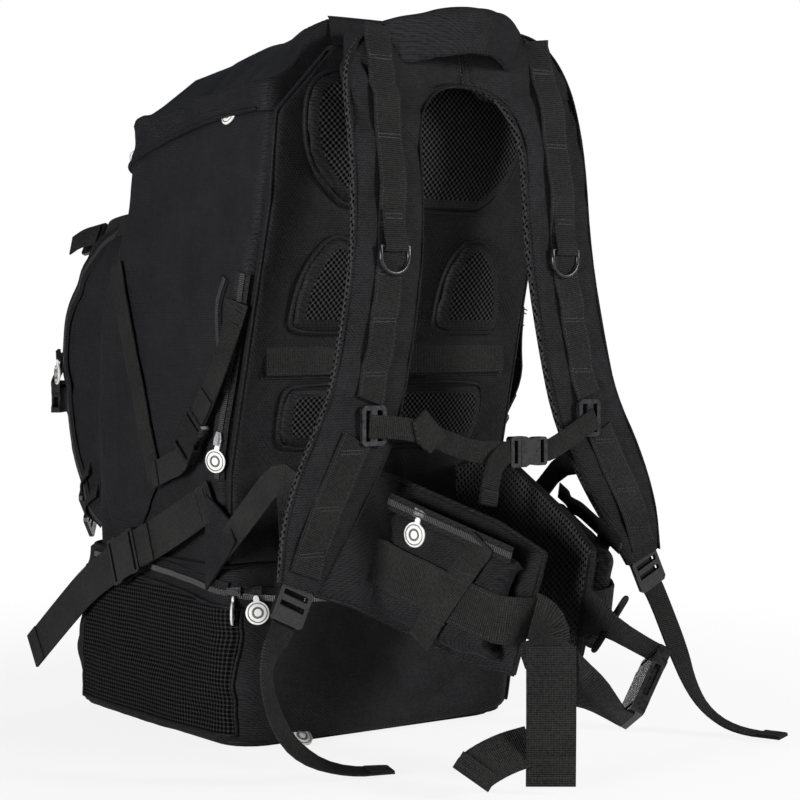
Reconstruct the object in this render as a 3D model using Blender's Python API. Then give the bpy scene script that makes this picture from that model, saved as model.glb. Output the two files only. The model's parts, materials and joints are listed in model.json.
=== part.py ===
"""A large soft rucksack with a padded harness, a hip belt and side compression straps.

Metres, +Z up. The origin lies on the base panel's underside, on the mid-plane. The harness faces
-Y and the front pocket faces +Y. Left (-X) and right (+X) are as seen when facing the harness.
"""

import math

import bmesh
import bpy
from mathutils import Matrix, Vector

for leftover in list(bpy.data.objects):
    bpy.data.objects.remove(leftover)

MM = 0.001
SIDES = (("left", -1), ("right", 1))


def line(base, *stations):
    """A profile line: (height, offset from a base size) stations in millimetres, as metres."""
    return [(height * MM, base + offset * MM) for height, offset in stations]


def along(profile, at):
    """The value of a profile line at a height."""
    for (low, first), (high, second) in zip(profile, profile[1:]):
        if at <= high:
            share = max(0.0, (at - low) / (high - low))
            return first + (second - first) * share
    return profile[-1][1]


# Clearances
GAP = 0.3 * MM
PRONG_PLAY = 0.5 * MM
TAG_PLAY = 1.6 * MM

# Main sizes: half width, and how far the back, bags, pocket and harness reach
PACK_HALF = 171 * MM
BACK_REACH = -200 * MM
BAG_FRONT = 150 * MM
LOWER_FRONT = 190 * MM
POCKET_FRONT = 286 * MM
POCKET_SIDE = 142 * MM
HARNESS_REACH = -292 * MM

# Main bag, lower bag and lid
WALL = 4 * MM
BASE_THICKNESS = 3.5 * MM
BASE_INSET = 9 * MM
BOTTOM_ROUND = 6 * MM
SPLIT = 168 * MM
MOUTH_LEVEL = 500 * MM
HEM_BACK = 583 * MM
HEM_FRONT = 534 * MM
LID_TOP_BACK = 678 * MM
LID_TOP_FRONT = 632 * MM
LID_HINGE = LID_TOP_BACK - 6 * MM
LID_RIM = 32 * MM
LID_RIM_DROP = 2 * MM
LID_FLAT_HALF = 88 * MM
LID_FRONT_FALL = 60 * MM
LID_FALL_SHARE = 0.4
LID_WALL_RUN = 30 * MM
LID_INSETS = (7 * MM, 30 * MM, 70 * MM)
LID_BACK_SHARE = 0.6
LID_INNER_CORNER = 14 * MM
LID_OVERHANG = 2.5 * MM
BACK_CORNER = 12 * MM
FRONT_CORNER = 42 * MM
POCKET_CORNER = 48 * MM
POCKET_CORNER_SHARE = 0.8
POCKET_BACK_CORNER = 4 * MM

BACK_LINE = line(BACK_REACH, (0, 60), (60, 54), (130, 64), (160, 75), (255, 75), (376, 45), (500, 13),
                 (583, 4), (646, 0))
SIDE_LINE = line(PACK_HALF, (0, -5), (60, 0), (130, 0), (168, -6), (300, -3), (420, -5), (500, -9),
                 (583, -14), (646, -17))
MAIN_FRONT_LINE = line(BAG_FRONT, (168, -2), (300, 0), (400, -10), (460, -35), (500, -53), (560, -60))
LOWER_FRONT_LINE = line(LOWER_FRONT, (0, -8), (60, 0), (130, -8), (168, -20))
POCKET_FRONT_LINE = line(POCKET_FRONT, (168, -92), (200, -60), (252, -26), (300, -9), (355, 0),
                         (400, -16), (440, -40), (475, -81), (505, -146))
POCKET_SIDE_LINE = line(POCKET_SIDE, (168, -10), (200, 0), (400, 0), (440, -6), (475, -24), (505, -58))
SIDE_MAX = max(value for _, value in SIDE_LINE)

# Back panel, its pads and the sheet inside
PANEL_THICKNESS = 12 * MM
PANEL_EDGE = 5 * MM
PANEL_BOTTOM = 172 * MM
PANEL_SIDE_LINE = line(PACK_HALF, (172, -11), (583, -17), (646, -75))
PAD_THICKNESS = 11 * MM
PAD_EDGE = 14 * MM
PAD_END_SHARE = 0.55
PAD_SIDE_SHARE = 0.5
PAD_SHOULDER_SHARE = 0.88
UPPER_PAD_ROWS = ((500, -92, 92), (507, -110, 110), (520, -123, 123), (545, -128, 128), (572, -126, 126),
                  (588, -114, 114), (596, -92, 92))
LOWER_PAD_ROWS = ((386, 60, 120), (395, 49, 131), (436, 46, 133), (460, 54, 127), (474, 72, 110))
LUMBAR_ROWS = ((276, -108, 108), (286, -118, 118), (328, -118, 118), (338, -108, 108))
SHEET_THICKNESS = 2 * MM
SHEET_BOTTOM = 190 * MM
SHEET_HALF = 118 * MM
SHEET_NIP = 14 * MM

# Harness
HARNESS_TOP = 630 * MM
STRAP_THICKNESS = 16 * MM
STRAP_HALF = 36 * MM
STRAP_TOP_HALF = 30 * MM
STRAP_TIP_HALF = 19 * MM
HARNESS_LINE = line(HARNESS_REACH, (163, 0), (300, 5), (455, 9), (502, 11), (547, 15), (594, 26), (640, 38))
HARNESS_HINGE_Y = along(HARNESS_LINE, HARNESS_TOP) + STRAP_THICKNESS / 2 + GAP
STRAP_ROUTE = ((98, 630), (95, 594), (96, 547), (98, 455), (116, 367), (126, 313), (154, 258),
               (180, 210), (198, 172))
YOKE_TOP = HARNESS_TOP + 36 * MM
YOKE_BOTTOM = HARNESS_TOP - 30 * MM
YOKE_ARCH = YOKE_BOTTOM + 14 * MM
YOKE_HALF = 104 * MM
YOKE_TOP_HALF = 94 * MM
YOKE_ARCH_HALF = 56 * MM
YOKE_CORNER = 8 * MM

# Webbing
WEB_THICKNESS = 1.8 * MM
WEB_20 = 20 * MM
WEB_25 = 25 * MM
WEB_38 = 38 * MM
WEB_50 = 50 * MM
WEB_LEAD = 8 * MM

# Plastic hardware
BUCKLE_BAR = 12 * MM
BUCKLE_CHEEK = 4 * MM
BUCKLE_SLOT = 4 * MM
BUCKLE_NIP = 2 * MM
BUCKLE_WAIST = 2 * MM
BUCKLE_MOUTH_RIM = 5 * MM
CLIP_THINNER = 1 * MM
PRONG_THICKNESS = 4.2 * MM
PRONG_WIDTH = 5 * MM
PRONG_SHORT = 1.5 * MM
PRONG_HOOK = 3 * MM
TONGUE_HALF = 2.6 * MM
TONGUE_SHORT = 4 * MM
PLATE_THICKNESS = 4 * MM
PLATE_CORNER = 3 * MM
PLATE_CHEEK = 4 * MM

# Side straps: rear seam, buckle and tail as (y, z), on both sides
WING_THICKNESS = 2.5 * MM
UPPER_SEAM = (-133, 376)
UPPER_BUCKLE = (-98, 308)
UPPER_AXIS = (0.62, -0.78)
LOWER_SEAM = (-104, 232)
LOWER_BUCKLE = (14, 176)
LOWER_AXIS = (0.93, -0.37)
LOWER_TAIL = ((120, 130), (180, 90), (244, 46))
STRAP_BEND_SHARE = 0.55
WING_ROWS = ((196, 30, 92), (225, 12, 100), (262, -20, 102), (300, -8, 102), (380, 20, 96), (440, 46, 76))

# Ladder-locks, the tails that leave them and the webbing that anchors them
LOCK_LENGTH = 34 * MM
LOCK_SLOTS = ((6 * MM, 11 * MM), (16 * MM, 21 * MM))
LOCK_CHEEK = 4.5 * MM
TAIL_ROUTES = {
    "left": ((-222, -298, 92), (-214, -284, 48), (-190, -272, 16), (-150, -290, 5), (-118, -309, 5)),
    "right": ((220, -318, 84), (230, -328, 44), (246, -338, 18), (260, -362, 5), (278, -402, 4)),
}
TAIL_FACINGS = {
    "left": ((0, -1, 0), (-0.5, -1, 0.2), (-0.5, -0.4, 0.8), (0, 0, 1), (0, 0, 1)),
    "right": ((0, -1, 0), (0.4, -1, 0.4), (0.3, -0.5, 0.9), (0, 0, 1), (0, 0, 1)),
}
ANCHOR_SEAM = (-108, 178)
ANCHOR_LOOP = ((174, -150, 202), (186, -208, 262), (196, -250, 236))
ANCHOR_FACINGS = ((1, 0, 0), (1, -0.2, 0), (0.9, -0.4, 0), (0.4, -1, 0), (0, -1, 0))
ANCHOR_LEAD = 10 * MM
ANCHOR_CLEAR = 2 * MM

# D-rings
RING_WIRE = 2.2 * MM
RING_HALF = 15 * MM
RING_DROP = 24 * MM
RING_HEIGHT = 462 * MM
RING_X = 98 * MM

# Chest strap
STERNUM_X = 124 * MM
STERNUM_Z = 306 * MM
STERNUM_BUCKLE_X = 22 * MM
STERNUM_BUCKLE_Z = 278 * MM
STERNUM_CHEEK = 5 * MM
STERNUM_SLOTS = ((4 * MM, 9 * MM), (16 * MM, 22 * MM))
SLIDER_PLATE = 26 * MM
STERNUM_SLACK = ((-80, 302), (-24, 280))

# Haul handle
HANDLE_HALF = 82 * MM
HANDLE_WIDTH = 43 * MM
HANDLE_END = 0.5
HANDLE_THICKNESS = 9 * MM
HANDLE_Z = HARNESS_TOP + 21 * MM
HANDLE_BOW = 44 * MM
HANDLE_RISE = 4 * MM

# Hip belt and its pockets
BELT_THICKNESS = 13 * MM
BELT_HALF = 64 * MM
BELT_ROOT_HALF = 42 * MM
BELT_TIP_HALF = 54 * MM
BELT_ROUTE = ((104, -126.8, 211), (104, -184, 209), (76, -250, 193), (32, -398, 146))
BELT_BEND = 25 * MM
BELT_HINGE_Z = 262 * MM
POCKET_START = 0.06
POCKET_END = 0.96
POCKET_THICKNESS = 24 * MM
POCKET_HALF = 61 * MM
POCKET_END_HALF = 54 * MM

# Belt buckle and the free ends of the belt's webbing
HIP_SOCKET_REAR = Vector((29, -456, 58)) * MM
HIP_BUCKLE_AXIS = Vector((0.62, 0.10, 0.78)).normalized()
HIP_BUCKLE_FACE = Vector((-0.62, 0.50, 0.42))
BELT_LEAD = 20 * MM
BELT_HOOK = Vector((-42, -438, 113)) * MM
BELT_HOOK_FACE = Vector((-0.6, -0.8, 0))
BELT_HOOK_RUN = Vector((0.566, -0.424, -0.707))
BELT_HOOK_STEPS = (-8 * MM, 0, 20 * MM, 32 * MM)
BELT_TAIL_BOTTOM = 7 * MM

# Zip pulls
SLIDER_LENGTH = 13 * MM
SLIDER_WIDTH = 8 * MM
SLIDER_HEIGHT = 4.5 * MM
SLIDER_BASE = 2.7 * MM
SLIDER_NIP = 1.5 * MM
BRIDGE_HALF = 1.6 * MM
BRIDGE_START = -4.7 * MM
BRIDGE_END = 5.2 * MM
TAG_RADIUS = 11.5 * MM
TAG_NECK = 9 * MM
TAG_NECK_HALF = 3 * MM
TAG_THICKNESS = 2 * MM
TAG_EYE = (2 * MM, 4 * MM)
TAG_EYE_HALF = 1.4 * MM
SIDE_ZIP_LOW = 288 * MM
SIDE_ZIP_HIGH = 405 * MM
SIDE_ZIP_TURN = math.radians(25)
HIP_ZIP_SHARE = 0.30

# Front buckles
FRONT_BUCKLE_Z = 332 * MM

OUTWARD = Vector((0, -1, 0))
SOFT_SECTION = ((-1, -0.35), (-0.86, -0.85), (0, -1), (0.86, -0.85), (1, -0.35), (1, 0.35),
                (0.86, 0.85), (0, 1), (-0.86, 0.85), (-1, 0.35))
FLAT_SECTION = ((-1, -1), (1, -1), (1, 1), (-1, 1))


def material(name, colour, roughness, metallic=0.0):
    made = bpy.data.materials.new(name)
    made.use_nodes = True
    shader = made.node_tree.nodes["Principled BSDF"]
    shader.inputs["Base Color"].default_value = (*colour, 1.0)
    shader.inputs["Roughness"].default_value = roughness
    shader.inputs["Metallic"].default_value = metallic
    return made


FABRIC = material("pack_fabric", (0.012, 0.012, 0.014), 0.85)
MESH_CLOTH = material("air_mesh", (0.016, 0.016, 0.017), 0.92)
WEBBING = material("webbing", (0.016, 0.015, 0.014), 0.75)
PLASTIC = material("black_plastic", (0.010, 0.010, 0.011), 0.42)
METAL = material("dark_metal", (0.045, 0.045, 0.05), 0.35, 0.9)
ZIP_METAL = material("zip_metal", (0.45, 0.45, 0.46), 0.3, 1.0)
TAG_WHITE = material("tag_white", (0.78, 0.78, 0.76), 0.5)
SHEET_BLACK = material("frame_plastic", (0.02, 0.02, 0.02), 0.55)

JOINT_EMPTIES = {}
JOINT_POINTS = {}


def hang(obj, body):
    """Parents an object to a body's empty and leaves it where it is."""
    obj.parent = JOINT_EMPTIES[body]
    obj.matrix_parent_inverse = Matrix.Translation(-JOINT_POINTS[body])


def joint_empty(body, point, parent=None):
    """The empty that stands on a moving body's joint axis."""
    empty = bpy.data.objects.new("axis_" + body, None)
    bpy.context.collection.objects.link(empty)
    empty.location = point
    if parent:
        hang(empty, parent)
    JOINT_POINTS[body] = Vector(point)
    JOINT_EMPTIES[body] = empty


def add(name, mesh, finish, body=None, matrix=None):
    """Adds a mesh as a named object, in world coordinates or placed by a matrix."""
    obj = bpy.data.objects.new(name, mesh)
    bpy.context.collection.objects.link(obj)
    obj.data.materials.clear()
    obj.data.materials.append(finish)
    if matrix:
        obj.matrix_local = matrix
    if body:
        hang(obj, body)


def mesh_of(vertices, faces):
    mesh = bpy.data.meshes.new("solid")
    mesh.from_pydata([tuple(v) for v in vertices], [], faces)
    work = bmesh.new()
    work.from_mesh(mesh)
    bmesh.ops.recalc_face_normals(work, faces=work.faces)
    work.to_mesh(mesh)
    work.free()
    return mesh


def loft(rings, closed=False):
    """A closed solid through rings of as many points each: capped, or joined end to end."""
    count = len(rings[0])
    vertices = [point for ring in rings for point in ring]
    faces = []
    last = len(rings) if closed else len(rings) - 1
    for level in range(last):
        low = level * count
        high = (level + 1) % len(rings) * count
        for i in range(count):
            j = (i + 1) % count
            faces.append((low + i, low + j, high + j, high + i))
    if not closed:
        faces.append(tuple(range(count - 1, -1, -1)))
        faces.append(tuple(range(len(vertices) - count, len(vertices))))
    return mesh_of(vertices, faces)


def bag_ring(half, back, front, back_corner, front_corner, height, steps=4):
    """A rounded rectangle seen from above, at a height given as a function of x and y."""
    ring = []
    corners = ((1, front, front_corner, 0), (-1, front, front_corner, 90),
               (-1, back, back_corner, 180), (1, back, back_corner, 270))
    for sign, edge, radius, start in corners:
        centre_x = sign * (half - radius)
        centre_y = edge - radius if edge == front else edge + radius
        for step in range(steps + 1):
            angle = math.radians(start + 90 * step / steps)
            x = centre_x + radius * math.cos(angle)
            y = centre_y + radius * math.sin(angle)
            ring.append(Vector((x, y, height(x, y))))
    return ring


def level(z):
    return lambda x, y: z


def smooth_step(share):
    share = min(1.0, max(0.0, share))
    return share * share * (3 - 2 * share)


def main_back(z):
    """The main bag's back wall, just inside the back panel."""
    return along(BACK_LINE, z) + PANEL_THICKNESS + GAP


def hem(y):
    """The sloping edge of the bag's mouth."""
    back = main_back(HEM_BACK)
    front = along(MAIN_FRONT_LINE, HEM_FRONT)
    return HEM_BACK + (HEM_FRONT - HEM_BACK) * (y - back) / (front - back)


def main_ring(z, inset, height):
    return bag_ring(along(SIDE_LINE, z) - inset, main_back(z) + inset,
                    along(MAIN_FRONT_LINE, z) - inset, BACK_CORNER - inset, FRONT_CORNER - inset,
                    height)


def mouth_ring(inset, height):
    return bag_ring(along(SIDE_LINE, HEM_BACK) - inset, main_back(HEM_BACK) + inset,
                    along(MAIN_FRONT_LINE, HEM_FRONT) - inset, BACK_CORNER - inset,
                    FRONT_CORNER - inset, height)


def build_bags():
    floor = SPLIT + GAP
    bends = {z for z, _ in BACK_LINE + SIDE_LINE + MAIN_FRONT_LINE if floor < z < MOUTH_LEVEL}
    levels = [floor, *sorted(bends), MOUTH_LEVEL]
    outer = [main_ring(z, 0, level(z)) for z in levels]
    outer.append(mouth_ring(0, lambda x, y: hem(y)))
    levels[0] = floor + WALL
    inner = [main_ring(z, WALL, level(z)) for z in levels]
    inner.append(mouth_ring(WALL, lambda x, y: hem(y)))
    add("main_bag", loft(outer + inner[::-1]), FABRIC)

    def lower_ring(profile_z, inset, z):
        return bag_ring(along(SIDE_LINE, profile_z) - inset, along(BACK_LINE, profile_z) + inset,
                        along(LOWER_FRONT_LINE, profile_z) - inset, BACK_CORNER, FRONT_CORNER, level(z))

    bottom = BASE_THICKNESS + GAP
    rings = [lower_ring(0, BOTTOM_ROUND, bottom), lower_ring(0, 0, bottom + BOTTOM_ROUND)]
    rings += [lower_ring(z, 0, z) for z, _ in LOWER_FRONT_LINE[1:]]
    add("lower_bag", loft(rings), FABRIC)
    base = [lower_ring(0, BASE_INSET, z) for z in (0, BASE_THICKNESS)]
    add("base_panel", loft(base), FABRIC)

    rings = []
    levels = {SPLIT + GAP, *(z for z, _ in POCKET_FRONT_LINE[1:] + POCKET_SIDE_LINE[1:])}
    for z in sorted(levels):
        back = along(MAIN_FRONT_LINE, z) + GAP
        front = along(POCKET_FRONT_LINE, z)
        corner = min(POCKET_CORNER, POCKET_CORNER_SHARE * (front - back))
        rings.append(bag_ring(along(POCKET_SIDE_LINE, z), back, front, POCKET_BACK_CORNER, corner, level(z)))
    add("front_pocket", loft(rings), FABRIC)


def lid_top(x, y):
    """The lid's crowned top: high along the middle of the back, falling to its rim."""
    back = main_back(HEM_BACK)
    front = along(MAIN_FRONT_LINE, HEM_FRONT)
    crest = LID_TOP_BACK + (LID_TOP_FRONT - LID_TOP_BACK) * (y - back) / (front - back)
    rim = hem(y) + LID_RIM
    half = along(SIDE_LINE, HEM_BACK)
    side = 1 - smooth_step((abs(x) - LID_FLAT_HALF) / (half - LID_FLAT_HALF))
    ahead = 1 - LID_FALL_SHARE * smooth_step((y - front + LID_FRONT_FALL) / LID_FRONT_FALL)
    return rim + (crest - rim) * side * ahead


def build_lid():
    back = main_back(HEM_BACK) + GAP
    front = along(MAIN_FRONT_LINE, HEM_FRONT) + LID_OVERHANG
    half = along(SIDE_LINE, HEM_BACK) + LID_OVERHANG

    def ring(inset, back_inset, height):
        corner = max(FRONT_CORNER - inset, LID_INNER_CORNER)
        return bag_ring(half - inset, back + back_inset, front - inset, BACK_CORNER, corner, height)

    def rim_height(drop):
        def height(x, y):
            wall = 1 - smooth_step((y - back) / LID_WALL_RUN)
            low = hem(y) + LID_RIM
            return low + (lid_top(x, back) - low) * wall - drop
        return height

    outer = [ring(0, 0, lambda x, y: hem(y) + GAP), ring(0, 0, rim_height(LID_RIM_DROP))]
    inner = [ring(WALL, WALL, lambda x, y: hem(y) + GAP), ring(WALL, WALL, rim_height(LID_RIM_DROP + WALL))]
    for inset in LID_INSETS:
        deep = inset + WALL
        outer.append(ring(inset, inset * LID_BACK_SHARE, lid_top))
        inner.append(ring(deep, deep * LID_BACK_SHARE, lambda x, y: lid_top(x, y) - WALL))
    joint_empty("lid", (0, back, LID_HINGE))
    add("lid", loft(outer[::-1] + inner), FABRIC, "lid")


def back_rows(profile_rows):
    """Rows of (z, x_low, x_high), with one more wherever the back line bends between them."""
    rows = list(profile_rows)
    for z, _ in BACK_LINE:
        for (low, a, b), (high, c, d) in zip(profile_rows, profile_rows[1:]):
            if low < z < high:
                share = (z - low) / (high - low)
                rows.append((z, a + (c - a) * share, b + (d - b) * share))
    return sorted(rows)


def back_pad(rows):
    """A crowned pad that lies on the back line, from rows of (z, x_low, x_high) in millimetres."""
    rows = back_rows([(z * MM, low * MM, high * MM) for z, low, high in rows])
    rings = []
    for i, (z, low, high) in enumerate(rows):
        rise = PAD_THICKNESS * (PAD_END_SHARE if i in (0, len(rows) - 1) else 1)
        edge = min(PAD_EDGE, (high - low) / 4)
        y = along(BACK_LINE, z) - GAP
        side = y - PAD_SIDE_SHARE * rise
        shoulder = y - PAD_SHOULDER_SHARE * rise
        rings.append([Vector((low, y, z)), Vector((high, y, z)), Vector((high, side, z)),
                      Vector((high - edge, shoulder, z)), Vector(((low + high) / 2, y - rise, z)),
                      Vector((low + edge, shoulder, z)), Vector((low, side, z))])
    return loft(rings)


def build_back():
    levels = sorted({PANEL_BOTTOM, *(z for z, _ in BACK_LINE if z > PANEL_BOTTOM)})
    rings = []
    for z in levels:
        half = along(PANEL_SIDE_LINE, z)
        y = along(BACK_LINE, z)
        deep = y + PANEL_THICKNESS
        rings.append([Vector((-half, deep, z)), Vector((half, deep, z)),
                      Vector((half, y + PANEL_EDGE, z)), Vector((half - PANEL_EDGE, y, z)),
                      Vector((PANEL_EDGE - half, y, z)), Vector((-half, y + PANEL_EDGE, z))])
    add("back_panel", loft(rings), FABRIC)

    levels = sorted({SHEET_BOTTOM, MOUTH_LEVEL,
                     *(z for z, _ in BACK_LINE if SHEET_BOTTOM < z < MOUTH_LEVEL)})
    rings = []
    for z in levels:
        y = main_back(z) + WALL + GAP
        half = SHEET_HALF - (SHEET_NIP if z in (SHEET_BOTTOM, MOUTH_LEVEL) else 0)
        rings.append([Vector((-half, y, z)), Vector((half, y, z)),
                      Vector((half, y + SHEET_THICKNESS, z)), Vector((-half, y + SHEET_THICKNESS, z))])
    add("frame_sheet", loft(rings), SHEET_BLACK)

    add("back_pad_upper", back_pad(UPPER_PAD_ROWS), MESH_CLOTH)
    for side, sign in SIDES:
        rows = [(z, min(sign * a, sign * b), max(sign * a, sign * b)) for z, a, b in LOWER_PAD_ROWS]
        add("back_pad_lower_" + side, back_pad(rows), MESH_CLOTH)
    add("lumbar_pad", back_pad(LUMBAR_ROWS), MESH_CLOTH)


def rounded(points, rounds=2):
    """Hand-picked points with their corners cut, so that the line starts and ends straight."""
    for _ in range(rounds):
        cut = [points[0]]
        for a, b in zip(points, points[1:]):
            cut += [a.lerp(b, 0.25), a.lerp(b, 0.75)]
        points = cut + [points[-1]]
    return points


def tangents_of(route):
    return [(route[min(i + 1, len(route) - 1)] - route[max(i - 1, 0)]).normalized()
            for i in range(len(route))]


def sweep(route, facings, halves, depths, section):
    """A flat band along a route: a facing, half width and half thickness at each point."""
    rings = []
    for point, tangent, facing, half, depth in zip(route, tangents_of(route), facings, halves, depths):
        across = tangent.cross(facing).normalized()
        normal = across.cross(tangent).normalized()
        rings.append([point + across * u * half + normal * v * depth for u, v in section])
    return loft(rings)


def ribbon(points, facings, width):
    """Flat webbing along hand-picked points, with a facing at each of them."""
    route = rounded([Vector(p) for p in points])
    turned = rounded([Vector(f) for f in facings])
    count = len(route)
    return sweep(route, turned, [width / 2] * count, [WEB_THICKNESS / 2] * count, FLAT_SECTION)


def prism(outline, thickness, middle=0.0):
    """A flat plate with the outline's shape, centred on the plane z = middle."""
    low = [Vector((x, y, middle - thickness / 2)) for x, y in outline]
    high = [Vector((x, y, middle + thickness / 2)) for x, y in outline]
    return loft([low, high])


def box(x_low, x_high, y_half, z_half):
    return prism([(x_low, -y_half), (x_high, -y_half), (x_high, y_half), (x_low, y_half)], 2 * z_half)


def carved(base, others):
    """The base mesh with a list of (operation, mesh) Booleans applied in turn."""
    work = bpy.data.objects.new("carving", base)
    bpy.context.collection.objects.link(work)
    tools = []
    for operation, mesh in others:
        tool = bpy.data.objects.new("tool", mesh)
        bpy.context.collection.objects.link(tool)
        modifier = work.modifiers.new(operation, "BOOLEAN")
        modifier.operation = operation
        modifier.solver = "EXACT"
        modifier.object = tool
        tools.append(tool)
    graph = bpy.context.evaluated_depsgraph_get()
    result = bpy.data.meshes.new_from_object(work.evaluated_get(graph))
    for obj in [work, *tools]:
        bpy.data.objects.remove(obj)
    return result


class Buckle:
    """A side-release buckle for one webbing width: a socket, and a clip whose prongs enter it.

    Along its axis the socket runs from 0 to length, and the clip's bar follows the mouth.
    """

    def __init__(self, webbing, length, thickness):
        self.webbing = webbing
        self.length = length
        self.thickness = thickness
        self.depth = length - BUCKLE_BAR
        self.total = length + GAP + BUCKLE_BAR
        self.socket_mesh = self.make_socket()
        self.clip_mesh = self.make_clip()

    def bar_slot(self):
        start = (BUCKLE_BAR - BUCKLE_SLOT) / 2
        return box(start, start + BUCKLE_SLOT, self.webbing / 2 + PRONG_PLAY, self.thickness)

    def make_socket(self):
        half = self.webbing / 2
        mouth = half + BUCKLE_CHEEK
        bar = mouth - BUCKLE_WAIST / 2
        waist = mouth - BUCKLE_WAIST
        end = self.length
        rim = end - BUCKLE_MOUTH_RIM
        right = [(0, bar - BUCKLE_NIP), (BUCKLE_NIP, bar), (BUCKLE_BAR, bar),
                 (BUCKLE_BAR + 2 * BUCKLE_NIP, waist), (rim - 2 * BUCKLE_NIP, waist), (rim, mouth),
                 (end, mouth)]
        outline = [(x, -y) for x, y in right] + [(x, y) for x, y in reversed(right)]
        hollow = PRONG_THICKNESS / 2 + PRONG_PLAY
        mouth_hole = box(BUCKLE_BAR, end + BUCKLE_MOUTH_RIM, half + PRONG_PLAY, hollow)
        windows = box(BUCKLE_BAR + BUCKLE_MOUTH_RIM, rim - CLIP_THINNER, mouth + BUCKLE_CHEEK, hollow)
        return carved(prism(outline, self.thickness),
                      [("DIFFERENCE", self.bar_slot()), ("DIFFERENCE", mouth_hole),
                       ("DIFFERENCE", windows)])

    def make_clip(self):
        half = self.webbing / 2
        bar = half + BUCKLE_CHEEK
        tip = BUCKLE_BAR + self.depth - PRONG_SHORT
        inner = half - PRONG_WIDTH
        root = BUCKLE_BAR + PRONG_HOOK
        prongs = [(BUCKLE_BAR - PRONG_HOOK, half), (tip - PRONG_WIDTH, half), (tip, half - PRONG_HOOK),
                  (tip - PRONG_SHORT, inner), (root, inner), (root, TONGUE_HALF),
                  (tip - TONGUE_SHORT, TONGUE_HALF)]
        outline = [(x, -y) for x, y in prongs] + [(x, y) for x, y in reversed(prongs)]
        bar_right = [(0, bar - BUCKLE_NIP), (BUCKLE_NIP, bar), (BUCKLE_BAR, bar)]
        bar_outline = [(x, -y) for x, y in bar_right] + [(x, y) for x, y in reversed(bar_right)]
        return carved(prism(bar_outline, self.thickness - CLIP_THINNER),
                      [("UNION", prism(outline, PRONG_THICKNESS)), ("DIFFERENCE", self.bar_slot())])

    def frame(self, start, axis, face):
        """Puts the buckle's own x along axis and its broad face towards face."""
        axis = Vector(axis).normalized()
        width = Vector(face).cross(axis).normalized()
        normal = axis.cross(width).normalized()
        turn = Matrix((axis, width, normal)).transposed().to_4x4()
        return Matrix.Translation(Vector(start)) @ turn

    def add_socket(self, name, start, axis, face, body=None):
        add(name, self.socket_mesh.copy(), PLASTIC, body, self.frame(start, axis, face))

    def add_clip(self, name, start, axis, face, body):
        axis = Vector(axis).normalized()
        rear = Vector(start) + axis * self.total
        add(name, self.clip_mesh.copy(), PLASTIC, body, self.frame(rear, -axis, face))


BUCKLE_20 = Buckle(WEB_20, 30 * MM, 8.5 * MM)
BUCKLE_25 = Buckle(WEB_25, 34 * MM, 9.5 * MM)
BUCKLE_38 = Buckle(WEB_38, 42 * MM, 10.5 * MM)
BUCKLE_50 = Buckle(WEB_50, 52 * MM, 12 * MM)


def build_wings():
    for side, sign in SIDES:
        levels = list(WING_ROWS)
        for z, _ in SIDE_LINE:
            for (low, a, b), (high, c, d) in zip(WING_ROWS, WING_ROWS[1:]):
                if low < z / MM < high:
                    share = (z / MM - low) / (high - low)
                    levels.append((z / MM, a + (c - a) * share, b + (d - b) * share))
        rings = []
        for z, low, high in sorted(levels):
            inner = sign * (along(SIDE_LINE, z * MM) + GAP)
            outer = inner + sign * WING_THICKNESS
            rings.append([Vector((inner, low * MM, z * MM)), Vector((inner, high * MM, z * MM)),
                          Vector((outer, high * MM, z * MM)), Vector((outer, low * MM, z * MM))])
        add("side_wing_" + side, loft(rings), FABRIC)


def side_strap(name, side, sign, seam, buckle, axis, size, clip_body):
    """One compression strap: sewn webbing, its socket, and the clip that leaves it."""
    stand = SIDE_MAX + GAP + WING_THICKNESS + GAP + size.thickness / 2
    face = Vector((sign, 0, 0))
    along_side = Vector((0, axis[0], axis[1])).normalized()
    start = Vector((sign * stand, buckle[0] * MM, buckle[1] * MM))
    seam_z = seam[1] * MM
    skin = max(along(SIDE_LINE, seam_z + up * size.webbing / 2) for up in (-1, 1))
    sewn = Vector((sign * (skin + GAP + WEB_THICKNESS / 2), seam[0] * MM, seam_z))
    end = start - along_side * GAP
    bend = end - along_side * (end - sewn).length * STRAP_BEND_SHARE
    web = ribbon([sewn, bend, end], [face] * 3, size.webbing)
    add(name + "_strap_" + side, web, WEBBING)
    size.add_socket(name + "_socket_" + side, start, along_side, face)
    joint_empty(clip_body, start + along_side * size.total)
    size.add_clip(name + "_clip_" + side, start, along_side, face, clip_body)
    return start + along_side * (size.total + GAP), along_side, stand


def build_side_straps():
    for side, sign in SIDES:
        side_strap("upper", side, sign, UPPER_SEAM, UPPER_BUCKLE, UPPER_AXIS, BUCKLE_25,
                   "upper_clip_" + side)
        rear, axis, stand = side_strap("lower", side, sign, LOWER_SEAM, LOWER_BUCKLE, LOWER_AXIS,
                                       BUCKLE_38, "lower_clip_" + side)
        points = [rear, rear + axis * WEB_LEAD,
                  *(Vector((sign * stand, y * MM, z * MM)) for y, z in LOWER_TAIL)]
        tail = ribbon(points, [Vector((sign, 0, 0))] * len(points), WEB_38)
        add("lower_tail_" + side, tail, WEBBING, "lower_clip_" + side)


def strap_point(x, z, lift=0.0):
    """A point on the harness sheet's middle, lifted off towards its outer face."""
    return Vector((x, along(HARNESS_LINE, z) - lift, z))


def strap_route(sign):
    return rounded([strap_point(sign * x * MM, z * MM) for x, z in STRAP_ROUTE], 1)


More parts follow.
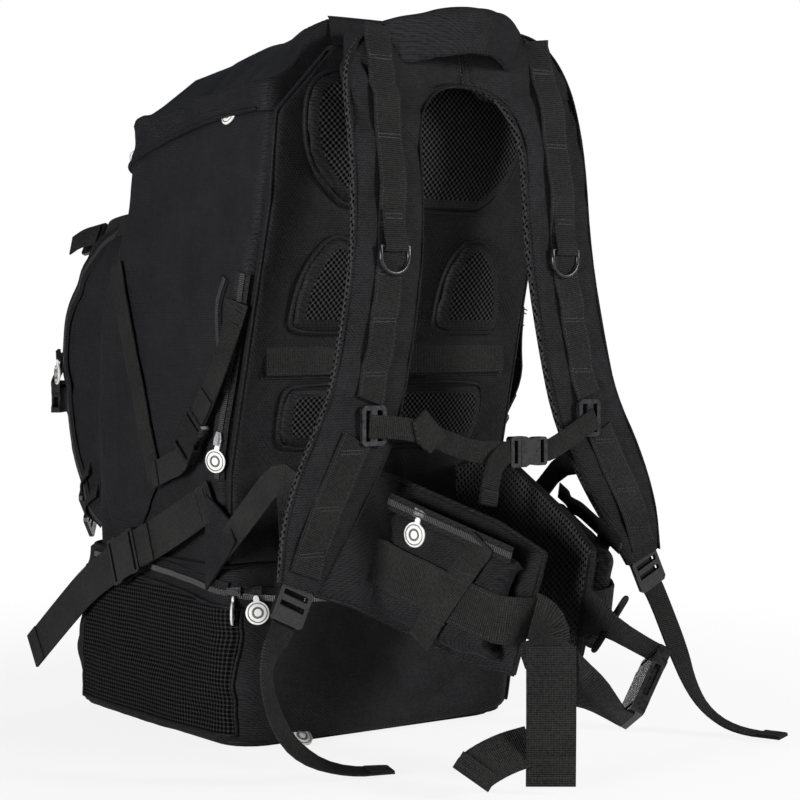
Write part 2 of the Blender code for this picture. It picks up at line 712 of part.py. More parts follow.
def slotted_plate(length, half_width, slots):
    """A rounded plate, from 0 to length, with slots across it given as (start, end)."""
    nip = PLATE_CORNER
    right = [(0, half_width - nip), (nip, half_width), (length - nip, half_width),
             (length, half_width - nip)]
    outline = [(x, -y) for x, y in right] + [(x, y) for x, y in reversed(right)]
    cuts = [("DIFFERENCE", box(a, b, half_width - PLATE_CHEEK, PLATE_THICKNESS)) for a, b in slots]
    return carved(prism(outline, PLATE_THICKNESS), cuts)


def plate_frame(start, axis, face):
    return BUCKLE_25.frame(start, axis, face)


def build_harness():
    joint_empty("harness", (0, HARNESS_HINGE_Y, HARNESS_TOP))
    right = [(YOKE_ARCH_HALF - 2 * YOKE_CORNER, YOKE_ARCH), (YOKE_ARCH_HALF + YOKE_CORNER, YOKE_BOTTOM),
             (YOKE_HALF - YOKE_CORNER, YOKE_BOTTOM), (YOKE_HALF, YOKE_BOTTOM + YOKE_CORNER),
             (YOKE_HALF, HARNESS_TOP - YOKE_CORNER), (YOKE_HALF - YOKE_CORNER, HARNESS_TOP),
             (YOKE_TOP_HALF, HARNESS_TOP), (YOKE_TOP_HALF, YOKE_TOP - YOKE_CORNER),
             (YOKE_TOP_HALF - YOKE_CORNER, YOKE_TOP)]
    outline = right + [(-x, z) for x, z in reversed(right)]
    front = [Vector((x, HARNESS_HINGE_Y + GAP, z)) for x, z in outline]
    rear = [Vector((x, along(BACK_LINE, YOKE_TOP) - GAP, z)) for x, z in outline]
    add("yoke_pad", loft([rear, front]), FABRIC)

    for side, sign in SIDES:
        route = strap_route(sign)
        count = len(route)
        halves = [STRAP_HALF] * count
        halves[0] = STRAP_TOP_HALF
        halves[-2] = (STRAP_HALF + STRAP_TIP_HALF) / 2
        halves[-1] = STRAP_TIP_HALF
        depths = [STRAP_THICKNESS / 2] * count
        depths[0] = STRAP_THICKNESS / 3
        depths[-1] = STRAP_THICKNESS / 3
        add("shoulder_strap_" + side, sweep(route, [OUTWARD] * count, halves, depths, SOFT_SECTION),
            FABRIC, "harness")

        end = route[-1]
        down = tangents_of(route)[-1]
        lock_start = end + down * GAP
        lock = slotted_plate(LOCK_LENGTH, WEB_25 / 2 + LOCK_CHEEK, LOCK_SLOTS)
        add("ladder_lock_" + side, lock, PLASTIC, "harness", plate_frame(lock_start, down, OUTWARD))
        tail_start = lock_start + down * (LOCK_LENGTH + GAP)
        points = [tail_start, tail_start + down * WEB_LEAD, *(Vector(p) * MM for p in TAIL_ROUTES[side])]
        facings = [OUTWARD, OUTWARD, *(Vector(f) for f in TAIL_FACINGS[side])]
        add("strap_tail_" + side, ribbon(points, facings, WEB_25), WEBBING, "harness")

        seam_y, seam_z = (value * MM for value in ANCHOR_SEAM)
        skin = max(along(SIDE_LINE, seam_z + up * WEB_25 / 2) for up in (-1, 1))
        sewn = Vector((sign * (skin + GAP + WEB_THICKNESS / 2), seam_y, seam_z))
        ending = lock_start + down * ANCHOR_LEAD - OUTWARD * (PLATE_THICKNESS / 2 + ANCHOR_CLEAR)
        points = [sewn, *(Vector((sign * x, y, z)) * MM for x, y, z in ANCHOR_LOOP), ending]
        facings = [(sign * x, y, z) for x, y, z in ANCHOR_FACINGS]
        add("strap_anchor_" + side, ribbon(points, facings, WEB_25), WEBBING)


def build_d_rings():
    for side, sign in SIDES:
        low = strap_point(sign * RING_X, RING_HEIGHT - RING_DROP, STRAP_THICKNESS / 2 + GAP + RING_WIRE)
        top = Vector((low.x, low.y, RING_HEIGHT))
        body = "d_ring_" + side
        joint_empty(body, top, "harness")
        path = [Vector((-RING_HALF, 0, 0)), Vector((RING_HALF, 0, 0))]
        for step in range(9):
            angle = math.pi * step / 8
            path.append(Vector((RING_HALF * math.cos(angle), 0,
                                -(RING_DROP - RING_HALF) - RING_HALF * math.sin(angle))))
        count = len(path)
        rings = []
        for i, point in enumerate(path):
            before = (point - path[i - 1]).normalized()
            after = (path[(i + 1) % count] - point).normalized()
            inward = (after - before).normalized()
            stretch = 1 / max(0.5, math.cos(before.angle(after) / 2))
            rings.append([point + inward * RING_WIRE * stretch * math.cos(a)
                          + Vector((0, 1, 0)) * RING_WIRE * math.sin(a)
                          for a in (math.tau * k / 6 for k in range(6))])
        add(body, loft(rings, closed=True), METAL, body, Matrix.Translation(top))


def build_sternum():
    """The chest strap: a plate on each shoulder strap, webbing, and a small buckle between."""
    half_width = WEB_25 / 2 + STERNUM_CHEEK
    low = strap_point(0, STERNUM_Z - half_width, STRAP_THICKNESS / 2 + GAP + PLATE_THICKNESS / 2)
    plane = low.y - PLATE_THICKNESS / 2 - GAP - BUCKLE_20.thickness / 2
    for side, sign in SIDES:
        start = Vector((sign * (STERNUM_X + SLIDER_PLATE / 2), low.y, STERNUM_Z))
        plate = slotted_plate(SLIDER_PLATE, half_width, STERNUM_SLOTS)
        add("sternum_slider_" + side, plate, METAL, "harness", plate_frame(start, (-sign, 0, 0), OUTWARD))
    axis = Vector((-1, 0, 0))
    socket_rear = Vector((STERNUM_BUCKLE_X + BUCKLE_20.total, plane, STERNUM_BUCKLE_Z))
    clip_rear = socket_rear + axis * BUCKLE_20.total
    joint_empty("sternum_clip", clip_rear, "harness")
    BUCKLE_20.add_socket("sternum_socket", socket_rear, axis, OUTWARD, "harness")
    BUCKLE_20.add_clip("sternum_clip", socket_rear, axis, OUTWARD, "sternum_clip")
    on_plate = plane + BUCKLE_20.thickness / 2 - WEB_THICKNESS / 2
    for side, body, rear, out, bends in (("right", "harness", socket_rear, -axis, ()),
                                         ("left", "sternum_clip", clip_rear, axis, STERNUM_SLACK)):
        outer = -out.x * (SLIDER_PLATE / 4 - STERNUM_X)
        points = [Vector((outer, on_plate, STERNUM_Z)),
                  *(Vector((x * MM, plane, z * MM)) for x, z in bends),
                  rear + out * (GAP + WEB_LEAD), rear + out * GAP]
        add("sternum_webbing_" + side, ribbon(points, [OUTWARD] * len(points), WEB_20), WEBBING, body)


def build_handle():
    turn = math.atan(2 * HANDLE_BOW / HANDLE_HALF)
    seat = HARNESS_HINGE_Y - HANDLE_THICKNESS / 2 * math.cos(turn)
    end_half = HANDLE_WIDTH / 2 * HANDLE_END
    joint_empty("haul_handle", (0, seat, HANDLE_Z + end_half))
    route = []
    for step in range(13):
        share = step / 6 - 1
        arch = 1 - share * share
        route.append(Vector((share * HANDLE_HALF, seat - HANDLE_BOW * arch, HANDLE_Z + HANDLE_RISE * arch)))
    count = len(route)
    halves = [end_half if i < 2 or i > count - 3 else HANDLE_WIDTH / 2 for i in range(count)]
    band = sweep(route, [OUTWARD] * count, halves, [HANDLE_THICKNESS / 2] * count, SOFT_SECTION)
    add("haul_handle", band, FABRIC, "haul_handle")


def belt_frame(sign):
    """The straight outer stretch of a belt wing: its start, direction, outward and up."""
    start = Vector((sign * BELT_ROUTE[2][0], *BELT_ROUTE[2][1:])) * MM
    end = Vector((sign * BELT_ROUTE[3][0], *BELT_ROUTE[3][1:])) * MM
    run = (end - start)
    direction = run.normalized()
    outward = Vector((0, 0, -1)).cross(direction).normalized() * sign
    if outward.x * sign < 0:
        outward = -outward
    up = outward.cross(direction).normalized()
    if up.z < 0:
        up = -up
    return start, direction, run.length, outward, up


def build_belt():
    joint_empty("hip_belt", (0, along(BACK_LINE, BELT_HINGE_Z) - GAP, BELT_HINGE_Z))
    for side, sign in SIDES:
        start, direction, run, outward, up = belt_frame(sign)
        seam, turn = (Vector((sign * x, y, z)) * MM for x, y, z in BELT_ROUTE[:2])
        route = rounded([seam, turn, start - direction * BELT_BEND, start])
        route += [start + direction * run * share for share in (0.5, 1.0)]
        count = len(route)
        reach = (turn - seam).length
        growth = BELT_HALF - BELT_ROOT_HALF
        halves = [BELT_ROOT_HALF + growth * min((point - seam).length / reach, 1) for point in route]
        halves[-1] = BELT_TIP_HALF
        wing = sweep(route, [outward] * count, halves, [BELT_THICKNESS / 2] * count, SOFT_SECTION)
        add("hip_wing_" + side, wing, FABRIC, "hip_belt")

        lift = BELT_THICKNESS / 2 + GAP + POCKET_THICKNESS / 2
        shares = [POCKET_START + (POCKET_END - POCKET_START) * k / 4 for k in range(5)]
        route = [start + direction * run * share + outward * lift for share in shares]
        halves = [POCKET_END_HALF if k in (0, 4) else POCKET_HALF for k in range(5)]
        depths = [POCKET_THICKNESS / 2] * 5
        pocket = sweep(route, [outward] * 5, halves, depths, SOFT_SECTION)
        add("hip_pocket_" + side, pocket, FABRIC, "hip_belt")


def belt_end(sign, rear, stretch):
    """Belt webbing from a wing's tip, over a stretch of its own, to the rear of a buckle half."""
    start, direction, run, outward, _ = belt_frame(sign)
    tip = start + direction * (run + GAP)
    bar = HIP_BUCKLE_FACE.cross(HIP_BUCKLE_AXIS).normalized()
    arrival = HIP_BUCKLE_AXIS.cross(bar).normalized()
    if arrival.dot(rear - tip) < 0:
        arrival = -arrival
    if bar.dot(direction.cross(outward)) < 0:
        bar = -bar
    ending = bar.cross(arrival)
    points = [tip, tip + direction * BELT_LEAD, *stretch, rear - arrival * BELT_LEAD, rear]
    facings = [outward, outward, *[BELT_HOOK_FACE] * len(stretch), ending, ending]
    return ribbon(points, facings, WEB_50)


def build_belt_webbing():
    off = HIP_BUCKLE_AXIS * (GAP + WEB_THICKNESS / 2)
    clip_rear = HIP_SOCKET_REAR + HIP_BUCKLE_AXIS * BUCKLE_50.total
    joint_empty("hip_clip", clip_rear, "hip_belt")
    BUCKLE_50.add_socket("hip_socket", HIP_SOCKET_REAR, HIP_BUCKLE_AXIS, HIP_BUCKLE_FACE, "hip_belt")
    BUCKLE_50.add_clip("hip_clip", HIP_SOCKET_REAR, HIP_BUCKLE_AXIS, HIP_BUCKLE_FACE, "hip_clip")
    stretch = [BELT_HOOK + BELT_HOOK_RUN * step for step in BELT_HOOK_STEPS]
    add("belt_webbing_left", belt_end(-1, HIP_SOCKET_REAR - off, stretch), WEBBING, "hip_belt")
    add("belt_webbing_right", belt_end(1, clip_rear + off, []), WEBBING, "hip_belt")
    top = BELT_HOOK + BELT_HOOK_FACE * (WEB_THICKNESS + GAP)
    bottom = Vector((top.x, top.y, BELT_TAIL_BOTTOM))
    tail = ribbon([top, (top + bottom) / 2, bottom], [BELT_HOOK_FACE] * 3, WEB_50)
    add("belt_tail", tail, WEBBING, "hip_belt")


def zip_slider():
    """A zip slider's body and bridge: its track runs along x, its outer face is +z."""
    half = SLIDER_WIDTH / 2
    end = SLIDER_LENGTH / 2
    outline = [(-end, -half), (0, -half), (end, SLIDER_NIP - half), (end, half - SLIDER_NIP), (0, half),
               (-end, half)]
    base = prism(outline, SLIDER_BASE, SLIDER_BASE / 2)
    ridge = [(BRIDGE_START, -BRIDGE_HALF), (BRIDGE_END, -BRIDGE_HALF), (BRIDGE_END, BRIDGE_HALF),
             (BRIDGE_START, BRIDGE_HALF)]
    rise = SLIDER_HEIGHT - SLIDER_BASE / 2
    bridge = prism(ridge, rise, SLIDER_HEIGHT - rise / 2)
    return carved(base, [("UNION", bridge)])


def zip_tag():
    """A round pull tag on a neck, hung from its origin along x."""
    arc = math.asin(TAG_NECK_HALF / TAG_RADIUS)
    centre = TAG_NECK + TAG_RADIUS
    outline = [(GAP, TAG_NECK_HALF), (GAP, -TAG_NECK_HALF)]
    for step in range(19):
        angle = math.pi + arc + (math.tau - 2 * arc) * step / 18
        outline.append((centre + TAG_RADIUS * math.cos(angle), TAG_RADIUS * math.sin(angle)))
    eye = box(*TAG_EYE, TAG_EYE_HALF, TAG_THICKNESS)
    return carved(prism(outline, TAG_THICKNESS), [("DIFFERENCE", eye)])


def side_zip_frame():
    """The side zip on the bag's rounded back corner: its low end, direction and outward face."""
    outward = Vector((-math.cos(SIDE_ZIP_TURN), -math.sin(SIDE_ZIP_TURN), 0))
    low, high = (Vector((BACK_CORNER - along(SIDE_LINE, z), main_back(z) + BACK_CORNER, z))
                 + outward * BACK_CORNER for z in (SIDE_ZIP_LOW, SIDE_ZIP_HIGH))
    rise = (high - low).normalized()
    return low, rise, (outward - rise * outward.dot(rise)).normalized()


def build_pulls():
    low, rise, face = side_zip_frame()
    seat = low + face * 2 * GAP
    joint_empty("side_zip_slider", seat)
    add("side_zip_slider", zip_slider(), ZIP_METAL, "side_zip_slider", plate_frame(seat, rise, face))
    pivot = seat - rise * (SLIDER_LENGTH / 2 + TAG_PLAY) + face * TAG_THICKNESS / 2
    joint_empty("side_zip_tag", pivot, "side_zip_slider")
    add("side_zip_tag", zip_tag(), TAG_WHITE, "side_zip_tag", plate_frame(pivot, -rise, face))

    start, direction, run, outward, up = belt_frame(-1)
    middle = BELT_THICKNESS / 2 + GAP + POCKET_THICKNESS / 2
    edge, shoulder = SOFT_SECTION[6]
    crown = POCKET_THICKNESS / 2
    low = crown * (1 - (1 - shoulder) * (1 - SLIDER_WIDTH / 2 / (edge * POCKET_HALF)))
    seat = start + direction * run * HIP_ZIP_SHARE + up * edge * POCKET_HALF + outward * (middle + low + GAP)
    joint_empty("hip_zip_slider", seat, "hip_belt")
    add("hip_zip_slider", zip_slider(), ZIP_METAL, "hip_zip_slider",
        plate_frame(seat, direction, outward))
    pivot = seat - up * (SLIDER_WIDTH / 2 + TAG_PLAY) + outward * (TAG_THICKNESS / 2 + crown - low)
    joint_empty("hip_zip_tag", pivot, "hip_zip_slider")
    add("hip_zip_tag", zip_tag(), TAG_WHITE, "hip_zip_tag", plate_frame(pivot, -up, outward))


def build_front_buckles():
    z = FRONT_BUCKLE_Z
    for side, sign in SIDES:
        face = Vector((sign, 1, 0)).normalized()
        corner = Vector((sign * (along(POCKET_SIDE_LINE, z) - POCKET_CORNER),
                         along(POCKET_FRONT_LINE, z) - POCKET_CORNER, z))
        start = corner + face * (POCKET_CORNER + GAP + BUCKLE_25.thickness / 2)
        body = "front_buckle_" + side
        joint_empty(body, start)
        BUCKLE_25.add_socket(body, start, Vector((0, 0, -1)), face, body)


build_bags()
build_lid()
build_back()
build_wings()
build_side_straps()
build_harness()
build_d_rings()
build_sternum()
build_handle()
build_belt()
build_belt_webbing()
build_pulls()
build_front_buckles()
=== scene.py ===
import json
import math

import bmesh
import bpy
from mathutils import Matrix, Vector, noise
from mathutils.bvhtree import BVHTree

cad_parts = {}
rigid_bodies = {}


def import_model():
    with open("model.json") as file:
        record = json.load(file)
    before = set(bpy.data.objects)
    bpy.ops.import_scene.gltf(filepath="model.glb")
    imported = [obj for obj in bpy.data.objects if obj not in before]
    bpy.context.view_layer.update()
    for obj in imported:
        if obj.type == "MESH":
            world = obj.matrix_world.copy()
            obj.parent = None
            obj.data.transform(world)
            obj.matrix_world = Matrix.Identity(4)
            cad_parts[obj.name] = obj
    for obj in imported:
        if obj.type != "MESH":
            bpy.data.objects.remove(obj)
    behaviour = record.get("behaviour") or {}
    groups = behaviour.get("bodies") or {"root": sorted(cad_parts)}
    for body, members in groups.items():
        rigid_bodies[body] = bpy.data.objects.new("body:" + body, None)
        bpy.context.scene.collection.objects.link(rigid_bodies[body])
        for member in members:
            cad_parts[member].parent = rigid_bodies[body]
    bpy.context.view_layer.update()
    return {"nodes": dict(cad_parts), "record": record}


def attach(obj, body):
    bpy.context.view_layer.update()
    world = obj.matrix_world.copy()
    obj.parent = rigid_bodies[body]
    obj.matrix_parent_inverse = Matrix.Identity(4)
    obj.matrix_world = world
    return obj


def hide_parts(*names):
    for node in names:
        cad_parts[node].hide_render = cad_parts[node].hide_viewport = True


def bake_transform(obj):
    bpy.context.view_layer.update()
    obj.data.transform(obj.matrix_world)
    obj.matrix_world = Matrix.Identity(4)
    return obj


for leftover in list(bpy.data.objects):
    bpy.data.objects.remove(leftover)
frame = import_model()
NODES = frame["nodes"]
SCENE = bpy.context.scene

MM = 0.001
SIDES = (("left", -1), ("right", 1))
OUT = Vector((0, -1, 0))
UP = Vector((0, 0, 1))
LEFT = Vector((-1, 0, 0))


def mm(x, y, z):
    return Vector((x, y, z)) * MM


# Materials

def blank(name):
    made = bpy.data.materials.new(name)
    made.use_nodes = True
    return made, made.node_tree, made.node_tree.nodes["Principled BSDF"]


def put(made, values):
    for key, value in values.items():
        made.inputs[key].default_value = value


def node(tree, kind, values=None, **settings):
    made = tree.nodes.new(kind)
    for key, value in settings.items():
        setattr(made, key, value)
    put(made, values or {})
    return made


def ramp(tree, source, low, high, first, second):
    made = node(tree, "ShaderNodeValToRGB")
    ends = zip(made.color_ramp.elements, (low, high), (first, second))
    for element, position, colour in ends:
        element.position = position
        element.color = (*colour, 1)
    tree.links.new(source, made.inputs["Fac"])
    return made.outputs["Color"]


def band(tree, place, pitch, direction):
    """A sine band of one pitch, in metres."""
    made = node(tree, "ShaderNodeTexWave", {"Scale": math.pi / (10 * pitch)}, bands_direction=direction)
    tree.links.new(place, made.inputs["Vector"])
    return made.outputs["Fac"]


def blotch(tree, place, size, detail=4.0):
    made = node(tree, "ShaderNodeTexNoise", {"Scale": 1 / size, "Detail": detail})
    tree.links.new(place, made.inputs["Vector"])
    return made.outputs["Fac"]


def maths(tree, operation, first, second):
    made = node(tree, "ShaderNodeMath", operation=operation)
    for socket, value in zip(made.inputs, (first, second)):
        if isinstance(value, float):
            socket.default_value = value
        else:
            tree.links.new(value, socket)
    return made.outputs[0]


def mixed(tree, *shares):
    """The weighted sum of several signals."""
    total = 0.0
    for signal, share in shares:
        total = maths(tree, "ADD", total, maths(tree, "MULTIPLY", signal, share))
    return total


def uneven(tree, shader, place, size, low, high):
    """Roughness that wanders between two values."""
    tone = ramp(tree, blotch(tree, place, size), 0.3, 0.7, (low,) * 3, (high,) * 3)
    tree.links.new(tone, shader.inputs["Roughness"])


def bumped(tree, shader, height, strength, distance):
    made = node(tree, "ShaderNodeBump", {"Strength": strength, "Distance": distance})
    tree.links.new(height, made.inputs["Height"])
    tree.links.new(made.outputs["Normal"], shader.inputs["Normal"])


def woven(name, dark, light, rough, pitch, bump, sheen=0.02, uv=False, ribs=0.5):
    """Cloth: two crossing bands of thread, patchy tone and roughness, and a soft fuzz."""
    made, tree, shader = blank(name)
    place = node(tree, "ShaderNodeTexCoord").outputs["UV" if uv else "Object"]
    tone = blotch(tree, place, 45 * MM, 2.0)
    slub = blotch(tree, place, 3.2 * MM, 1.0)
    crumple = blotch(tree, place, 11 * MM, 3.0)
    warp = band(tree, place, pitch, "X" if uv else "DIAGONAL")
    weft = band(tree, place, pitch * 1.25, "Y" if uv else "Z")
    thread = mixed(tree, (warp, 1 - ribs), (weft, ribs))
    lit = mixed(tree, (tone, 0.25), (slub, 0.4), (thread, 0.35))
    tree.links.new(ramp(tree, lit, 0.30, 0.70, dark, light), shader.inputs["Base Color"])
    uneven(tree, shader, place, 12 * MM, rough - 0.08, rough + 0.06)
    put(shader, {"Sheen Weight": sheen, "Sheen Roughness": 0.45, "Sheen Tint": (0.75, 0.8, 0.9, 1),
                 "Specular IOR Level": 0.14})
    bumped(tree, shader, mixed(tree, (thread, 1.0), (slub, 1.0), (crumple, 1.6)), bump, 0.9 * MM)
    return made


def holed(name, light, pitch, flat=None, bump=0.8):
    """Spacer mesh or net: rows of round holes, painted near black as shade, between threads painted light as
    highlight. flat turns the lattice into one plane.
    """
    made, tree, shader = blank(name)
    place = node(tree, "ShaderNodeTexCoord").outputs["Object"]
    turn = node(tree, "ShaderNodeMapping", {"Rotation": flat or (0.6, 0.35, 0.785)})
    tree.links.new(place, turn.inputs["Vector"])
    cells = node(tree, "ShaderNodeTexVoronoi", {"Scale": 1 / pitch, "Randomness": 0.0},
                 voronoi_dimensions="2D" if flat else "3D")
    tree.links.new(turn.outputs["Vector"], cells.inputs["Vector"])
    deep = cells.outputs["Distance"]
    # painted shade and highlight: the holes are near black and the threads take the light colour
    tree.links.new(ramp(tree, deep, 0.36, 0.54, (0.0002,) * 3, light), shader.inputs["Base Color"])
    uneven(tree, shader, place, 10 * MM, 0.72, 0.9)
    put(shader, {"Specular IOR Level": 0.06})
    bumped(tree, shader, deep, bump, 2.2 * MM)
    return made


def moulded(name, dark, light, rough, metallic=0.0, grain=1.1 * MM, bump=0.12, specular=0.5):
    """Moulded plastic or coated metal with a fine grain and uneven gloss."""
    made, tree, shader = blank(name)
    place = node(tree, "ShaderNodeTexCoord").outputs["Object"]
    tone = ramp(tree, blotch(tree, place, 6 * MM), 0.35, 0.75, dark, light)
    tree.links.new(tone, shader.inputs["Base Color"])
    uneven(tree, shader, place, 4 * MM, rough - 0.07, rough + 0.09)
    put(shader, {"Metallic": metallic, "Specular IOR Level": specular})
    bumped(tree, shader, blotch(tree, place, grain, 2.0), bump, 0.3 * MM)
    return made


def coiled(name, dark, light, pitch):
    """A closed zip's coil, with its teeth across the run."""
    made, tree, shader = blank(name)
    place = node(tree, "ShaderNodeTexCoord").outputs["UV"]
    teeth = band(tree, place, pitch, "X")
    tree.links.new(ramp(tree, teeth, 0.2, 0.8, dark, light), shader.inputs["Base Color"])
    uneven(tree, shader, place, 3 * MM, 0.35, 0.5)
    bumped(tree, shader, teeth, 0.9, 0.9 * MM)
    return made


CLOTH_DARK = (0.0026, 0.0026, 0.0030)
PLASTIC_DARK, PLASTIC_LIGHT = (0.004, 0.004, 0.0045), (0.009, 0.009, 0.0096)
QUARTER = math.pi / 2
FABRIC = woven("pack_cloth", CLOTH_DARK, (0.0155, 0.0155, 0.0170), 0.74, 1.8 * MM, 0.45)
PADCLOTH = woven("strap_cloth", CLOTH_DARK, (0.0170, 0.0170, 0.0186), 0.72, 1.8 * MM, 0.50)
LINING = woven("lining_cloth", (0.010, 0.010, 0.011), (0.021, 0.021, 0.022), 0.8, 2.2 * MM, 0.3, sheen=0.03)
WEBBING = woven("webbing_cloth", (0.0022, 0.0021, 0.0020), (0.0250, 0.0241, 0.0232), 0.68, 1.9 * MM, 0.7,
                uv=True, ribs=0.25)
# The mesh and net threads' light colours are a painted highlight, and holed paints their holes as shade.
AIR_MESH = holed("air_mesh", (0.0430, 0.0430, 0.0440), 4 * MM, (QUARTER, 0, 0.785), 0.9)
EDGE_MESH = holed("edge_mesh", (0.0400, 0.0400, 0.0410), 4 * MM)
NET = holed("side_net", (0.0210, 0.0210, 0.0220), 4 * MM, (QUARTER, QUARTER, 0.0), 0.6)
PIPING = woven("piping_cloth", (0.0022, 0.0022, 0.0024), (0.0125, 0.0125, 0.0138), 0.62, 2.2 * MM, 0.4)
THREAD = moulded("thread", (0.006, 0.006, 0.0065), (0.014, 0.014, 0.0145), 0.65, grain=0.6 * MM, bump=0.3)
PLASTIC = moulded("satin_plastic", PLASTIC_DARK, PLASTIC_LIGHT, 0.30)
DULL = moulded("dull_plastic", PLASTIC_DARK, PLASTIC_LIGHT, 0.58, specular=0.12)
METAL = moulded("coated_metal", (0.022, 0.022, 0.024), (0.05, 0.05, 0.053), 0.30, metallic=0.7)
SILVER = moulded("zip_silver", (0.42, 0.42, 0.43), (0.62, 0.62, 0.63), 0.28, metallic=1.0)
WHITE = moulded("tag_rubber", (0.70, 0.70, 0.68), (0.80, 0.80, 0.78), 0.5, grain=1.6 * MM, bump=0.06)
GREY = moulded("tag_ring", (0.09,) * 3, (0.14,) * 3, 0.5)
SHEET = moulded("stiff_sheet", (0.014,) * 3, (0.022,) * 3, 0.5)
COIL = coiled("zip_coil", (0.006,) * 3, (0.055, 0.055, 0.058), 1.9 * MM)


# Mesh helpers

def face_out(mesh):
    """Turns a closed mesh's faces outward."""
    shell = bmesh.new()
    shell.from_mesh(mesh)
    if all(edge.is_manifold for edge in shell.edges):
        bmesh.ops.recalc_face_normals(shell, faces=shell.faces)
        shell.to_mesh(mesh)
    shell.free()


def make(name, points, faces, finish, uv=None, sharp=None):
    mesh = bpy.data.meshes.new(name)
    mesh.from_pydata([tuple(p) for p in points], [], [tuple(f) for f in faces])
    face_out(mesh)
    if uv is not None:
        layer = mesh.uv_layers.new(name="UVMap")
        for loop in mesh.loops:
            layer.data[loop.index].uv = uv[loop.vertex_index]
    mesh.materials.append(finish)
    mesh.shade_smooth()
    if sharp:
        mesh.set_sharp_from_angle(angle=math.radians(sharp))
    return shown(name, mesh)


def shown(name, data):
    obj = bpy.data.objects.new(name, data)
    SCENE.collection.objects.link(obj)
    return obj


def seat(obj, body, *replaced):
    if replaced:
        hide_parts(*replaced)
    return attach(obj, body)


def bend(obj, first, second, start, end, *replaced):
    if replaced:
        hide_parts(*replaced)
    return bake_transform(obj)


def baked(obj):
    """Applies every modifier."""
    graph = bpy.context.evaluated_depsgraph_get()
    mesh = bpy.data.meshes.new_from_object(obj.evaluated_get(graph), depsgraph=graph)
    obj.modifiers.clear()
    obj.data = mesh
    return obj


def walled(obj, thick, lining=None):
    """Gives a skin its thickness, with another cloth on the inside where it has a lining."""
    wall = obj.modifiers.new("wall", "SOLIDIFY")
    wall.thickness = thick
    wall.offset = -1
    if lining:
        obj.data.materials.append(lining)
        wall.material_offset = 1
    baked(obj)
    obj.data.shade_smooth()
    return obj


def finer(obj, levels=1):
    fine = obj.modifiers.new("fine", "SUBSURF")
    fine.levels = fine.render_levels = levels
    return baked(obj)


def joined(name, objects):
    """One object from several, keeping their materials."""
    points, faces, finishes, picks, uvs = [], [], [], [], []
    for obj in objects:
        start = len(points)
        points += [v.co.copy() for v in obj.data.vertices]
        layer = obj.data.uv_layers.active
        for poly in obj.data.polygons:
            faces.append([start + i for i in poly.vertices])
            finish = obj.data.materials[poly.material_index]
            if finish not in finishes:
                finishes.append(finish)
            picks.append(finishes.index(finish))
            uvs += [tuple(layer.data[k].uv) if layer else (0.0, 0.0) for k in poly.loop_indices]
        bpy.data.objects.remove(obj)
    made = make(name, points, faces, finishes[0])
    for finish in finishes[1:]:
        made.data.materials.append(finish)
    made.data.polygons.foreach_set("material_index", picks)
    layer = made.data.uv_layers.new(name="UVMap")
    layer.data.foreach_set("uv", [c for pair in uvs for c in pair])
    made.data.set_sharp_from_angle(angle=math.radians(40))
    return made


def strip(rows, closed=False, wrap=False):
    """Faces of a grid of rows. closed joins each row's ends, wrap joins the last row to the first."""
    count = len(rows[0])
    faces = []
    for r in range(len(rows) if wrap else len(rows) - 1):
        low, high = r * count, (r + 1) % len(rows) * count
        for i in range(count if closed else count - 1):
            j = (i + 1) % count
            faces.append((low + i, low + j, high + j, high + i))
    return faces


def capped(rows, first=True, last=True):
    """Faces of a tube of closed rows, with caps on its ends."""
    count = len(rows[0])
    faces = strip(rows, closed=True)
    if first:
        faces.append(range(count - 1, -1, -1))
    if last:
        faces.append(range(len(rows) * count - count, len(rows) * count))
    return faces


def flat(rows):
    return [p for row in rows for p in row]


def spread(low, high, step):
    count = max(1, round((high - low) / step))
    return [low + (high - low) * k / count for k in range(count + 1)]


def circle(count):
    return [math.tau * k / count for k in range(count)]


def cut_corners(points, rounds=2):
    for _ in range(rounds):
        cut = [points[0]]
        for a, b in zip(points, points[1:]):
            cut += [a.lerp(b, 0.25), a.lerp(b, 0.75)]
        points = cut + [points[-1]]
    return points


def evenly(points, step):
    """The same line with points about a step apart."""
    points = [Vector(p) for p in points]
    lengths = [0.0]
    for a, b in zip(points, points[1:]):
        lengths.append(lengths[-1] + (b - a).length)
    count = max(2, round(lengths[-1] / step) + 1)
    made, k = [], 0
    for n in range(count):
        at = lengths[-1] * n / (count - 1)
        while k < len(points) - 2 and lengths[k + 1] < at:
            k += 1
        span = lengths[k + 1] - lengths[k] or 1.0
        made.append(points[k].lerp(points[k + 1], (at - lengths[k]) / span))
    return made


def curve(points, step=6 * MM, rounds=3):
    return evenly(cut_corners([Vector(p) for p in points], rounds), step)


def tangents(route):
    last = len(route) - 1
    return [(route[min(i + 1, last)] - route[max(i - 1, 0)]).normalized() for i in range(last + 1)]


def power(value, exponent):
    return math.copysign(abs(value) ** exponent, value)


def rounded(count, wide, deep):
    """A band's section: an oval that the two exponents make squarer."""
    return [(power(math.cos(a), wide), power(math.sin(a), deep)) for a in circle(count)]


WEB = ((-1, -0.5), (-0.985, -1), (0, -1), (0.985, -1), (1, -0.5),
       (1, 0.5), (0.985, 1), (0, 1), (-0.985, 1), (-1, 0.5))
CROWN = rounded(28, 0.5, 0.75)
SLAB = rounded(36, 0.3, 0.5)


def skinned(name, route, sides, depths, section, finish):
    """A closed band along a route; each side is the vector from the route to the band's edge there."""
    rows, uv, far = [], [], 0.0
    for i, (point, tangent) in enumerate(zip(route, tangents(route))):
        far += (point - route[i - 1]).length if i else 0.0
        normal = sides[i].cross(tangent).normalized()
        rows.append([point + sides[i] * u + normal * v * depths[i] for u, v in section])
        uv += [(far, u * sides[i].length) for u, v in section]
    return make(name, flat(rows), capped(rows), finish, uv, 45)


